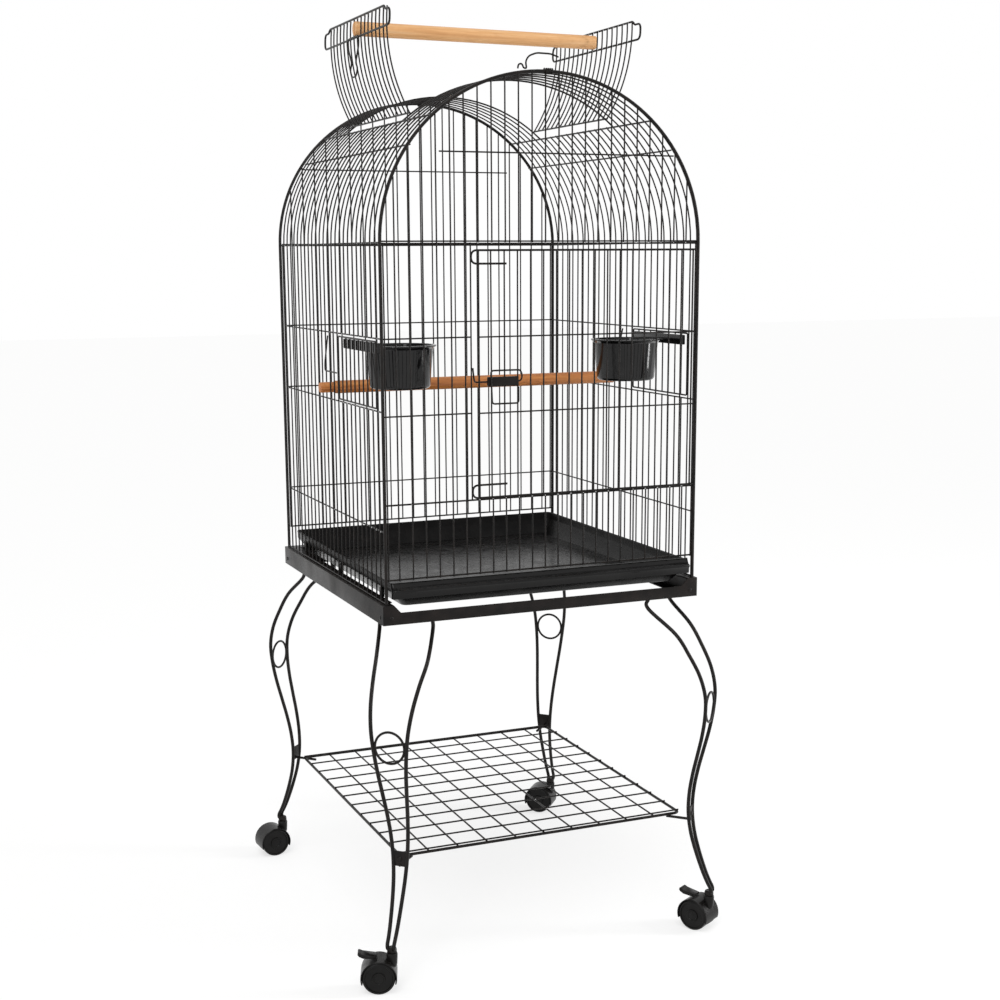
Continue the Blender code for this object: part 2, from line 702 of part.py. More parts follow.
left_low = flap_point(FRAME_LOW, frame_out, LEFT_FLAP_UP)
right_low = flap_point(FRAME_LOW, frame_out)
perch_lift = RAIL_ROD / 2 + GAP * 2 + ROOF_PERCH / 2
roof_perch_z = right_low.y + perch_lift
perch_left = Vector((-left_low.x - PERCH_POKE, 0, left_low.y + perch_lift))
perch_right = Vector((right_low.x + PERCH_POKE, 0, right_low.y + perch_lift))
roof_perch = cylinder("roof_perch", perch_left, perch_right, ROOF_PERCH / 2, 20, PALE_WOOD)
for end, up in ((-1, LEFT_FLAP_UP), (1, 0.0)):
    depth = PERCH_SLOT / 2 + (PERCH_SLIDE if end > 0 else 0)
    start = end * (flap_point(FRAME_LOW, up=up).x - WIRE / 2 - depth)
    stop = end * (flap_point(FRAME_LOW, frame_out, up).x + 0.02)
    cut(roof_perch, box("perch_slot_left" if end < 0 else "perch_slot_right",
                        (min(start, stop), -PERCH_SLOT / 2, roof_perch_z - ROOF_PERCH),
                        (max(start, stop), PERCH_SLOT / 2, roof_perch_z + ROOF_PERCH)))
PIVOTS["roof_perch"] = (perch_left + perch_right) / 2
perch_end = HALF_W - WIRE - GAP - WIRE / 2 - 0.004
inner_perch = cylinder("inner_perch", (-perch_end, 0, INNER_PERCH_Z), (perch_end, 0, INNER_PERCH_Z),
                       INNER_PERCH / 2, 20, DARK_WOOD)
weld(inner_perch, cylinder("perch_spigot", (-HALF_W - PERCH_OVERHANG, 0, INNER_PERCH_Z),
                           (HALF_W + WIRE / 2, 0, INNER_PERCH_Z), PERCH_SPIGOT / 2, 20, DARK_WOOD))

# Cups, each with a flat rim and the plate that hangs on the wall

for side_name, side in (("left", -1), ("right", 1)):
    x = side * (HALF_W - CUP_INSET)
    foot = CUP_RIM_Z - CUP_HEIGHT
    cup = cylinder(side_name + "_cup", (x, CUP_Y, foot), (x, CUP_Y, CUP_RIM_Z), CUP_RADIUS * 0.90, 28,
                   GLOSS_BLACK, CUP_RADIUS)
    weld(cup, cylinder(side_name + "_cup_rim", (x, CUP_Y, CUP_RIM_Z - 0.003), (x, CUP_Y, CUP_RIM_Z + 0.0015),
                       CUP_RADIUS + 0.0045, 28, GLOSS_BLACK))
    plate_x = side * (HALF_W - WIRE / 2 - GAP)
    inner_x = side * (HALF_W - CUP_PLATE_REACH)
    plate_z = CUP_RIM_Z - CUP_PLATE_HEIGHT * 0.45
    plate = box(side_name + "_cup_plate",
                (min(plate_x, inner_x), CUP_Y - CUP_PLATE_LENGTH / 2, plate_z),
                (max(plate_x, inner_x), CUP_Y + CUP_PLATE_LENGTH / 2, plate_z + CUP_PLATE_HEIGHT), GLOSS_BLACK)
    weld(cup, plate)
    arm_x = x + side * CUP_RADIUS * 0.5
    weld(cup, box(side_name + "_cup_arm",
                  (min(arm_x, inner_x + side * 0.001), CUP_Y - CUP_RADIUS * 0.6, CUP_RIM_Z - 0.0029),
                  (max(arm_x, inner_x + side * 0.001), CUP_Y + CUP_RADIUS * 0.6, CUP_RIM_Z + 0.0014),
                  GLOSS_BLACK))
    cut(cup, cylinder(side_name + "_cup_hollow", (x, CUP_Y, foot + CUP_WALL), (x, CUP_Y, CUP_RIM_Z + 0.01),
                      CUP_RADIUS * 0.90 - CUP_WALL, 28, GLOSS_BLACK, CUP_RADIUS))
    PIVOTS[side_name + "_cup"] = Vector((x, CUP_Y, foot))

# Tray

tray_half = INSIDE_W - SLIDE_PLAY + 0.0008
tray_low = STAND_TOP + GAP
tray_high = tray_low + TRAY_HEIGHT
tray_back = HALF_D - 0.0095
lip_back = -HALF_D - ARCH_ROD / 2 - GAP * 10
lip_front = lip_back - TRAY_WALL * 1.6
tray = box("tray", (-tray_half, lip_back - TRAY_WALL / 2, tray_low),
           (tray_half, tray_back, tray_high), GLOSS_BLACK)
cut(tray, box("tray_hollow", (-tray_half + TRAY_WALL, lip_back + TRAY_WALL, tray_low + TRAY_WALL),
              (tray_half - TRAY_WALL, tray_back - TRAY_WALL, tray_high + 0.01)))
weld(tray, box("tray_lip", (-TRAY_LIP_WIDTH / 2, lip_front, tray_low - 0.0025),
               (TRAY_LIP_WIDTH / 2, lip_back, tray_high + 0.0003), GLOSS_BLACK))
weld(tray, box("tray_bead", (-TRAY_LIP_WIDTH / 2 + 0.004, lip_front - 0.0012, tray_low + 0.0180),
               (TRAY_LIP_WIDTH / 2 - 0.004, lip_front + 0.0005, tray_low + 0.0215), GLOSS_BLACK))

PIVOTS["tray"] = Vector((0, 0, tray_low))

# Stand: four rails of inward channel, the front one lower in the middle

stand_x = STAND_WIDTH / 2
stand_y = STAND_DEPTH / 2
rail_foot = STAND_TOP - STAND_RAIL
stand = box("stand_frame", (-stand_x, -stand_y, rail_foot), (stand_x, stand_y, STAND_TOP))
cut(stand, box("stand_opening", (-stand_x + STAND_FLANGE, -stand_y + STAND_FLANGE, rail_foot - 0.01),
               (stand_x - STAND_FLANGE, stand_y - STAND_FLANGE, STAND_TOP + 0.01)))
cut(stand, box("stand_channel", (-stand_x + STAND_SHEET, -stand_y + STAND_SHEET, rail_foot + STAND_SHEET),
               (stand_x - STAND_SHEET, stand_y - STAND_SHEET, STAND_TOP - STAND_SHEET)))
EAR_WIDTH = 0.016
EAR_SLOPE = 0.012
drop = [(-stand_x + EAR_WIDTH, STAND_TOP + 0.001), (-stand_x + EAR_WIDTH + EAR_SLOPE, STAND_TOP - FRONT_DROP),
        (stand_x - EAR_WIDTH - EAR_SLOPE, STAND_TOP - FRONT_DROP), (stand_x - EAR_WIDTH, STAND_TOP + 0.001)]
notch = prism("stand_notch", drop, -0.002, STAND_FLANGE + 0.002)
notch.data.transform(Matrix.Rotation(math.pi / 2, 4, "X"))
notch.data.transform(Matrix.Translation((0, -stand_y + STAND_FLANGE, 0)))
cut(stand, notch)

# Legs: two bent rods each, a ring between them, a bracket for the shelf and a foot for the caster

SHOULDER_Z = 0.500      # the rods' heights and reach at their bends
KNEE_Z = 0.390
WAIST_Z = 0.205
ANKLE_Z = 0.100
SHOULDER_OUT = 0.0080
KNEE_OUT = 0.0413
WAIST_OUT = 0.0206
ANKLE_OUT = 0.0380
FOOT_OUT = 0.0445
SHOULDER_SPREAD = 0.0418    # half the way between the two rods
FOOT_SPREAD = 0.0056
LEG_ROWS = 9
LEG_TOP_X = 0.181       # the rods' upper ends, along the front and side rails
LEG_TOP_Y = 0.208
LEG_STRAIGHT = 0.016    # under the rails
CORNER_X = 0.2275
CORNER_Y = 0.2649


def leg_out(z):
    """How far a leg reaches out over the corner at a height."""
    if z > KNEE_Z:
        share = (SHOULDER_Z - z) / (SHOULDER_Z - KNEE_Z)
        return SHOULDER_OUT + (KNEE_OUT - SHOULDER_OUT) * math.sin(math.pi / 2 * share)
    if z > WAIST_Z:
        share = (KNEE_Z - z) / (KNEE_Z - WAIST_Z)
        return KNEE_OUT + (WAIST_OUT - KNEE_OUT) * (1 - math.cos(math.pi * share)) / 2
    if z > ANKLE_Z:
        share = (WAIST_Z - z) / (WAIST_Z - ANKLE_Z)
        return WAIST_OUT + (ANKLE_OUT - WAIST_OUT) * (1 - math.cos(math.pi / 2 * share))
    share = (ANKLE_Z - z) / (ANKLE_Z - FOOT_Z)
    return ANKLE_OUT + (FOOT_OUT - ANKLE_OUT) * share


def leg_spread(z):
    share = (z - FOOT_Z) / (SHOULDER_Z - FOOT_Z)
    return FOOT_SPREAD + (SHOULDER_SPREAD - FOOT_SPREAD) * share ** 1.5


def leg_rod(sx, sy, hand):
    """One rod, bent from under a rail out over the corner and down to the caster."""
    if hand > 0:
        top = Vector((sx * LEG_TOP_X, sy * (stand_y - 0.0115), rail_foot - GAP))
    else:
        top = Vector((sx * (stand_x - 0.0145), sy * LEG_TOP_Y, rail_foot - GAP))
    path = [top, top - Vector((0, 0, LEG_STRAIGHT))]
    for z in spread(SHOULDER_Z, ANKLE_Z, LEG_ROWS - 1) + [FOOT_Z]:
        out = leg_out(z)
        half = leg_spread(z) / math.sqrt(2)
        path.append(Vector((sx * (CORNER_X + out - hand * half), sy * (CORNER_Y + out + hand * half), z)))
    return path


def corner_at(sx, sy, out):
    return Vector((sx * (CORNER_X + out), sy * (CORNER_Y + out)))


for leg_name, sx, sy in (("front_left", -1, -1), ("front_right", 1, -1),
                         ("back_left", -1, 1), ("back_right", 1, 1)):
    outward = Vector((sx, sy, 0)).normalized()
    across = Vector((-sx, sy, 0)).normalized()
    first = rod(leg_name + "_leg", leg_rod(sx, sy, 1), LEG_ROD, sides_level=1)
    weld(first, rod(leg_name + "_leg_second", leg_rod(sx, sy, -1), LEG_ROD, sides_level=1))
    middle = corner_at(sx, sy, leg_out(RING_Z))
    ring_radius = leg_spread(RING_Z) - LEG_ROD / 2 - RING_ROD / 2 + RING_BITE
    ring = []
    for i in range(12):
        turn = 2 * math.pi * i / 12
        p = Vector((middle.x, middle.y, RING_Z)) + across * (math.cos(turn) * ring_radius)
        ring.append(p + Vector((0, 0, math.sin(turn) * ring_radius)))
    weld(first, rod(leg_name + "_leg_ring", ring, RING_ROD, closed=True, sides_level=1))
    middle = corner_at(sx, sy, leg_out(BRACKET_Z))
    low = BRACKET_Z - BRACKET_HEIGHT / 2
    plate = [middle + Vector((outward.x, outward.y)) * f + Vector((across.x, across.y)) * g
             for f, g in ((-0.001, -0.0125), (0.001, -0.0125), (0.001, 0.0125), (-0.001, 0.0125))]
    weld(first, prism(leg_name + "_leg_bracket", plate, low, low + BRACKET_HEIGHT))
    peg_z = SHELF_Z - SHELF_ROD / 2 - GAP - 0.0022
    start = Vector((middle.x, middle.y, peg_z))
    weld(first, cylinder(leg_name + "_leg_peg", start, start - outward * 0.040, 0.0022, 8))
    middle = corner_at(sx, sy, FOOT_OUT)
    weld(first, cylinder(leg_name + "_leg_foot", (middle.x, middle.y, FOOT_Z - 0.005),
                         (middle.x, middle.y, FOOT_Z + 0.009), 0.0100, 14))

# Shelf: a rim with wires front to back, and a second layer of wires across on top of them

shelf_x = SHELF_WIDTH / 2
shelf_y = SHELF_DEPTH / 2
columns = round(SHELF_WIDTH / SHELF_CELL)
rows = round(SHELF_DEPTH / SHELF_CELL)
lines = spread(-shelf_x, shelf_x, columns)
lattice("shelf_frame", [cell(a, b, -shelf_y, shelf_y) for a, b in zip(lines, lines[1:])],
        lambda u, v: Vector((u, v, SHELF_Z)), SHELF_ROD * 0.8, SHELF_ROD)
lines = spread(-shelf_y + SHELF_ROD, shelf_y - SHELF_ROD, rows)
wire_z = SHELF_Z + SHELF_ROD / 2 + GAP + WIRE / 2
lattice("shelf_wires", [cell(-shelf_x + 0.001, shelf_x - 0.001, a, b) for a, b in zip(lines, lines[1:])],
        lambda u, v: Vector((u, v, wire_z)))

# Casters: a hood on a stem, two wheels on an axle, a brake lever on the front ones

hood_radius = WHEEL_RADIUS + 0.0008 + HOOD_WALL
hood_half = CASTER_WEB / 2 + GAP * 2 + WHEEL_WIDTH + HOOD_WALL * 0.3


def turned(point, stem, angle):
    turn = Matrix.Rotation(angle, 3, "Z")
    return Vector((stem.x, stem.y, 0)) + turn @ Vector(point)


for caster_name, sx, sy in (("front_left", -1, -1), ("front_right", 1, -1),
                            ("back_left", -1, 1), ("back_right", 1, 1)):
    stem = corner_at(sx, sy, FOOT_OUT)
    axle = CASTER_TRAIL
    turn = math.radians(CASTER_TURNS[caster_name])

    def at(x, y, z, stem=stem, turn=turn):
        return turned((x, y, z), stem, turn)

    hood = cylinder(caster_name + "_caster_hood", at(axle, -hood_half, WHEEL_RADIUS),
                    at(axle, hood_half, WHEEL_RADIUS), hood_radius, 20)
    weld(hood, cylinder(caster_name + "_caster_neck", at(0.0, 0, WHEEL_RADIUS + 0.010),
                        at(0.0, 0, FOOT_Z - 0.005 - GAP), 0.0085, 12))
    for hand in (-1, 1):
        near = hand * CASTER_WEB / 2
        far = hand * (hood_half + 0.01)
        cut(hood, cylinder(caster_name + "_wheel_room_" + ("a" if hand < 0 else "b"),
                           at(axle, near, WHEEL_RADIUS), at(axle, far, WHEEL_RADIUS),
                           WHEEL_RADIUS + 0.0008, 20))
    floor_box = box(caster_name + "_hood_cut", (-hood_radius * 3, -hood_half * 2, -WHEEL_RADIUS),
                    (hood_radius * 3, hood_half * 2, WHEEL_RADIUS - HOOD_LIFT))
    floor_box.data.transform(Matrix.Translation((stem.x, stem.y, 0)) @ Matrix.Rotation(turn, 4, "Z"))
    cut(hood, floor_box)
    cut(hood, cylinder(caster_name + "_axle_bore", at(axle, -hood_half * 2, WHEEL_RADIUS),
                       at(axle, hood_half * 2, WHEEL_RADIUS), AXLE / 2 + GAP, 12))
    wheels = cylinder(caster_name + "_wheels", at(axle, -hood_half, WHEEL_RADIUS),
                      at(axle, hood_half, WHEEL_RADIUS), AXLE / 2, 12, TREAD)
    for hand in (-1, 1):
        near = hand * (CASTER_WEB / 2 + GAP * 2)
        far = hand * (CASTER_WEB / 2 + GAP * 2 + WHEEL_WIDTH)
        weld(wheels, cylinder(caster_name + "_wheel_" + ("a" if hand < 0 else "b"),
                              at(axle, near, WHEEL_RADIUS), at(axle, far, WHEEL_RADIUS),
                              WHEEL_RADIUS, 20, TREAD))
    if sy < 0:
        lever_z = WHEEL_RADIUS * 2 + 0.0008 + HOOD_WALL + GAP
        lever = box(caster_name + "_brake_lever", (axle + 0.004, -0.009, lever_z),
                    (axle + 0.030, 0.009, lever_z + 0.0035))
        lever.data.transform(Matrix.Translation((stem.x, stem.y, 0)) @ Matrix.Rotation(turn, 4, "Z"))
        PIVOTS[caster_name + "_brake_lever"] = at(axle + 0.006, 0, lever_z)
    PIVOTS[caster_name + "_caster_hood"] = at(0, 0, FOOT_Z - 0.005)
    PIVOTS[caster_name + "_wheels"] = at(axle, 0, WHEEL_RADIUS)


def centre_on_origin():
    """Put the origin under the middle of the whole object, on the floor."""
    bpy.context.view_layer.update()
    graph = bpy.context.evaluated_depsgraph_get()
    places = []
    for item in PARTS.objects:
        places += [v.co.copy() for v in item.evaluated_get(graph).data.vertices]
    low = Vector([min(p[i] for p in places) for i in range(3)])
    high = Vector([max(p[i] for p in places) for i in range(3)])
    shift = Vector((-(low.x + high.x) / 2, -(low.y + high.y) / 2, -low.z))
    for item in list(PARTS.objects) + list(CUTTERS.objects):
        item.data.transform(Matrix.Translation(shift))
    for name, place in PIVOTS.items():
        item = PARTS.objects[name]
        item.data.transform(Matrix.Translation(-(place + shift)))
        item.location = place + shift


centre_on_origin()
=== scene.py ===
# %% [markdown]
# # A parrot cage with an open dome roof, on a rolling stand
#
# Nearly all of this object is round wire. A flat drawing of every wire, its centre line, is enough to
# describe it, and one Geometry Nodes tree turns each line into steel. The few solid pieces, such as
# cups, tray, perches and casters, are turned or folded in mesh code. The lesson goes from the roof to
# the floor, and every piece is laid on the frame that the CAD model fixed.

# %% Load the frame
import json
import math

import bmesh
import bpy
from mathutils import Matrix, Vector


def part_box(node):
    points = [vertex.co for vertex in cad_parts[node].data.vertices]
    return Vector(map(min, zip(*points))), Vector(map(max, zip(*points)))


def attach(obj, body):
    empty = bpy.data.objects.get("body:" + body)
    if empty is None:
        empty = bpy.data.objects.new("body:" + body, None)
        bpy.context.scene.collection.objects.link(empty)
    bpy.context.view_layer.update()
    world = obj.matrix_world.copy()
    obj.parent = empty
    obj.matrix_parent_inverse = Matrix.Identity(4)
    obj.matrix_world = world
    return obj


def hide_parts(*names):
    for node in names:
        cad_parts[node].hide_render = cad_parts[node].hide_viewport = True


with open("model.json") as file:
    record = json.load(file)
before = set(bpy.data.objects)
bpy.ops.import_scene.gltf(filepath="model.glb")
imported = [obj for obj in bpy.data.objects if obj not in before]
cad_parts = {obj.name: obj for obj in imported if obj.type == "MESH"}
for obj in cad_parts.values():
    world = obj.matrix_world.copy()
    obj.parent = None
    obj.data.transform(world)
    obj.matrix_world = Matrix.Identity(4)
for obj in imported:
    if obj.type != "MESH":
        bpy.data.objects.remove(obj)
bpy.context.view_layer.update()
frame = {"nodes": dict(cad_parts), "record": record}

# %% [markdown]
# ## Sizes
#
# The sizes are the ones of the CAD model, in metres. The middle of the cage and the height of the
# stand are measured on the frame itself, so that everything follows if the frame is laid elsewhere.
# The joints' own points give the places of the pieces that turn.

# %% Sizes of the cage
STAND_TOP = 0.580
SPRING = 1.100
DOME_RISE = 0.240
HALF_W = 0.255
HALF_D = 0.265
ARCH_ROD = 0.0050
WIRE = 0.0023           # the round wire, a little thinner than the square one of the CAD model
EDGE = 0.0015           # a grille's outer wire lies this far inside its outline
LAYER = 0.0021          # from the middle of one wire to that of the wire welded across it
HEAVY = 0.0027          # the wires along the edges of a grille
CAD_HALF = 0.0015       # half the square wire of the CAD model
CLEAR = 0.0003          # the gap between pieces that lie against each other in the CAD model

INSIDE_W = HALF_W - ARCH_ROD / 2 - CLEAR
INSIDE_D = HALF_D - ARCH_ROD / 2 - CLEAR

stand_low, stand_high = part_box("stand_frame")
middle = (stand_low + stand_high) / 2
lift = stand_high.z - STAND_TOP


def at(x, y, z):
    """A point of the cage, from its middle and the floor."""
    return Vector((middle.x + x, middle.y + y, z + lift))


joints = {joint["name"]: joint for joint in frame["record"]["behaviour"]["joints"]}


def pivot(name):
    return Vector(joints[name]["pos_m"])


def spread(first, last, count):
    return [first + (last - first) * i / count for i in range(count + 1)]


print("middle of the cage", middle.x, middle.y)

# %% [markdown]
# ## The black powder coat
#
# Powder coat is plastic dust melted onto the steel. It is satin, never quite even, and up close it
# has the skin of an orange. The colour wanders between two warm blacks, a broad noise moves the
# roughness, and a fine one, about a millimetre across, is the bump. A last noise, cut off high, leaves
# a few rubbed spots where bare primer shows through.

# %% A short way to build a material
def blank(name):
    made = bpy.data.materials.new(name)
    made.use_nodes = True
    tree = made.node_tree
    place = tree.nodes.new("ShaderNodeTexCoord")
    return made, tree, tree.nodes["Principled BSDF"], place.outputs["Object"]


def noise(tree, where, scale, detail=3.0, roughness=0.5, stretch=None, shift=(0.0, 0.0, 0.0)):
    if stretch is not None:
        mapping = tree.nodes.new("ShaderNodeMapping")
        mapping.inputs["Scale"].default_value = stretch
        mapping.inputs["Location"].default_value = shift
        tree.links.new(where, mapping.inputs["Vector"])
        where = mapping.outputs["Vector"]
    made = tree.nodes.new("ShaderNodeTexNoise")
    made.inputs["Scale"].default_value = scale
    made.inputs["Detail"].default_value = detail
    made.inputs["Roughness"].default_value = roughness
    tree.links.new(where, made.inputs["Vector"])
    return made.outputs["Fac"]


def ramp(tree, value, stops):
    made = tree.nodes.new("ShaderNodeValToRGB")
    bar = made.color_ramp
    while len(bar.elements) < len(stops):
        bar.elements.new(0.5)
    for element, (place, color) in zip(bar.elements, stops):
        element.position = place
        element.color = (*color, 1.0)
    tree.links.new(value, made.inputs["Fac"])
    return made.outputs["Color"]


def between(tree, value, low, high, start=0.3, end=0.7):
    made = tree.nodes.new("ShaderNodeMapRange")
    made.inputs["From Min"].default_value = start
    made.inputs["From Max"].default_value = end
    made.inputs["To Min"].default_value = low
    made.inputs["To Max"].default_value = high
    tree.links.new(value, made.inputs["Value"])
    return made.outputs["Result"]


def mixed(tree, share, first, second):
    made = tree.nodes.new("ShaderNodeMix")
    made.data_type = "RGBA"
    tree.links.new(share, made.inputs[0])
    for color, socket in ((first, made.inputs[6]), (second, made.inputs[7])):
        if isinstance(color, tuple):
            socket.default_value = (*color, 1.0)
        else:
            tree.links.new(color, socket)
    return made.outputs[2]


def bump(tree, height, depth, strength, below=None):
    made = tree.nodes.new("ShaderNodeBump")
    made.inputs["Strength"].default_value = strength
    made.inputs["Distance"].default_value = depth
    tree.links.new(height, made.inputs["Height"])
    if below is not None:
        tree.links.new(below, made.inputs["Normal"])
    return made.outputs["Normal"]


# %% Powder coat
def powder_coat(name, dark, light, rough_low, rough_high, peel):
    made, tree, shader, where = blank(name)
    tone = ramp(tree, noise(tree, where, 46.0, 4.0), [(0.35, dark), (0.68, light)])
    rubbed = ramp(tree, noise(tree, where, 240.0, 5.0, 0.6), [(0.70, (0, 0, 0)), (0.76, (0.6, 0.6, 0.6))])
    color = mixed(tree, rubbed, tone, (0.042, 0.036, 0.032))
    tree.links.new(color, shader.inputs["Base Color"])
    tree.links.new(between(tree, noise(tree, where, 17.0), rough_low, rough_high),
                   shader.inputs["Roughness"])
    tree.links.new(bump(tree, noise(tree, where, peel, 2.0), 0.00025, 0.35), shader.inputs["Normal"])
    shader.inputs["Specular IOR Level"].default_value = 0.17
    return made


coat = powder_coat("black_powder_coat", (0.0045, 0.0038, 0.0035), (0.013, 0.0100, 0.0085),
                   0.28, 0.42, 1100.0)
sheet_coat = powder_coat("black_sheet_coat", (0.0040, 0.0032, 0.0030), (0.0125, 0.0092, 0.0080),
                         0.30, 0.46, 700.0)

# %% [markdown]
# ## Gloss, wood and wheels
#
# The cups and the tray are shiny black: low roughness, fine scratches that run every way, and a very
# shallow waviness that bends the reflections, because a moulded or pressed wall is never true.
#
# Wood is the same noise, stretched. Along the perch the grain is drawn out some thirty times, pores
# are stretched further and cut off sharply, and rings round a line beside the perch show as streaks on
# its side and as arcs on its ends.
#
# The wheels and hoods are moulded plastic, duller than the cups, with a fine spark-eroded grain.

# %% Gloss black
def gloss(name, dark, light, rough_low, rough_high, scratch, shine):
    made, tree, shader, where = blank(name)
    tone = ramp(tree, noise(tree, where, 30.0, 3.0), [(0.35, dark), (0.70, light)])
    scratches = ramp(tree, noise(tree, where, 90.0, 6.0, 0.7, (9.0, 0.7, 1.2)),
                     [(0.62, (0, 0, 0)), (0.68, (1, 1, 1))])
    color = mixed(tree, scratches, tone, (0.018, 0.0175, 0.017))
    tree.links.new(color, shader.inputs["Base Color"])
    rough = between(tree, noise(tree, where, 60.0, 5.0), rough_low, rough_high)
    tree.links.new(rough, shader.inputs["Roughness"])
    wavy = bump(tree, noise(tree, where, 22.0, 1.0), 0.004, 0.055)
    fine = bump(tree, noise(tree, where, 160.0, 5.0, 0.65, (1.0, 6.0, 1.0)), 0.0002, scratch, wavy)
    tree.links.new(fine, shader.inputs["Normal"])
    shader.inputs["Specular IOR Level"].default_value = shine
    return made


cup_gloss = gloss("cup_gloss_black", (0.0030, 0.0030, 0.0031), (0.0065, 0.0063, 0.0064),
                  0.06, 0.11, 0.08, 0.36)
tray_gloss = gloss("tray_satin_black", (0.0045, 0.0043, 0.0043), (0.0095, 0.0090, 0.0087),
                   0.20, 0.32, 0.10, 0.07)
lip_gloss = gloss("tray_lip_black", (0.0035, 0.0033, 0.0033), (0.0070, 0.0066, 0.0064),
                  0.12, 0.20, 0.05, 0.20)


# %% Wood
def wood(name, core, pale, dark, rough, centre):
    made, tree, shader, where = blank(name)
    shift = (-centre.x * 1.0, -centre.y * 30.0, -centre.z * 30.0)
    grain = noise(tree, where, 7.0, 6.0, 0.62, (1.0, 30.0, 30.0), shift)
    tone = ramp(tree, grain, [(0.28, dark), (0.50, core), (0.72, pale)])
    mapping = tree.nodes.new("ShaderNodeMapping")
    mapping.inputs["Location"].default_value = (0.0, -centre.y - 0.019, -centre.z + 0.012)
    tree.links.new(where, mapping.inputs["Vector"])
    rings = tree.nodes.new("ShaderNodeTexWave")
    rings.wave_type = "RINGS"
    rings.rings_direction = "X"
    rings.inputs["Scale"].default_value = 105.0
    rings.inputs["Distortion"].default_value = 2.2
    rings.inputs["Detail"].default_value = 3.0
    rings.inputs["Detail Scale"].default_value = 1.4
    tree.links.new(mapping.outputs["Vector"], rings.inputs["Vector"])
    ringed = mixed(tree, between(tree, rings.outputs["Fac"], 0.0, 0.22, 0.35, 1.0), tone, dark)
    pores = ramp(tree, noise(tree, where, 60.0, 2.0, 0.5, (0.5, 24.0, 24.0)),
                 [(0.60, (0, 0, 0)), (0.66, (0.5, 0.5, 0.5))])
    color = mixed(tree, pores, ringed, dark)
    tree.links.new(color, shader.inputs["Base Color"])
    tree.links.new(between(tree, grain, rough - 0.06, rough + 0.10), shader.inputs["Roughness"])
    soft = bump(tree, grain, 0.0004, 0.30)
    tree.links.new(bump(tree, pores, 0.0002, 0.25, soft), shader.inputs["Normal"])
    return made


top_wood = wood("pale_perch_wood", (0.86, 0.47, 0.20), (0.93, 0.60, 0.32), (0.66, 0.31, 0.11), 0.52,
                at(0, 0, 1.4207))
low_wood = wood("dark_perch_wood", (0.56, 0.20, 0.048), (0.68, 0.29, 0.085), (0.33, 0.095, 0.020), 0.46,
                at(0, 0, 0.879))


# %% Moulded plastic for wheels and hoods
def moulded(name, dark, light, rough_low, rough_high, grain):
    made, tree, shader, where = blank(name)
    tone = ramp(tree, noise(tree, where, 70.0, 4.0), [(0.32, dark), (0.70, light)])
    dust = ramp(tree, noise(tree, where, 300.0, 6.0, 0.7), [(0.66, (0, 0, 0)), (0.80, (0.5, 0.5, 0.5))])
    tree.links.new(mixed(tree, dust, tone, (0.10, 0.095, 0.09)), shader.inputs["Base Color"])
    tree.links.new(between(tree, noise(tree, where, 120.0, 3.0), rough_low, rough_high),
                   shader.inputs["Roughness"])
    tree.links.new(bump(tree, noise(tree, where, grain, 2.0), 0.0002, 0.30), shader.inputs["Normal"])
    shader.inputs["Specular IOR Level"].default_value = 0.16
    return made


hood_plastic = moulded("caster_hood_plastic", (0.0055, 0.0050, 0.0048), (0.012, 0.0110, 0.0105),
                       0.24, 0.36, 1500.0)
wheel_plastic = moulded("caster_wheel_plastic", (0.0040, 0.0038, 0.0036), (0.0085, 0.0080, 0.0075),
                        0.26, 0.38, 1900.0)
print("materials:", len(bpy.data.materials))

# %% [markdown]
# ## A tree that makes wire
#
# The real wire is drawn round steel, cut, bent and spot welded. Here a wire starts as a chain of
# edges. The tree makes a curve of it, repeats it along a row if asked, adds a few points and pushes
# them a fraction of a millimetre to and fro, since no hand-handled wire is dead straight, and sweeps a
# circle along it. The ends are closed, the copies are made real and the finish is set.

# %% Short ways to build a node tree
def builder(tree):
    """Two short ways to work on a tree: add a node, and link an output to an input."""
    def node(kind, **values):
        made = tree.nodes.new(kind)
        for key, value in values.items():
            setattr(made, key, value)
        return made

    def link(source, out, target, into):
        tree.links.new(source.outputs[out], target.inputs[into])

    return node, link


def geometry_tree(name, source, fields, product):
    """A new tree with named inputs and one output, and its two short ways."""
    tree = bpy.data.node_groups.new(name, "GeometryNodeTree")
    tree.is_modifier = True
    face = tree.interface
    face.new_socket(name=source, in_out="INPUT", socket_type="NodeSocketGeometry")
    for label, kind, value in fields:
        socket = face.new_socket(name=label, in_out="INPUT", socket_type="NodeSocket" + kind)
        if value is not None:
            socket.default_value = value
    face.new_socket(name=product, in_out="OUTPUT", socket_type="NodeSocketGeometry")
    return (tree, *builder(tree))


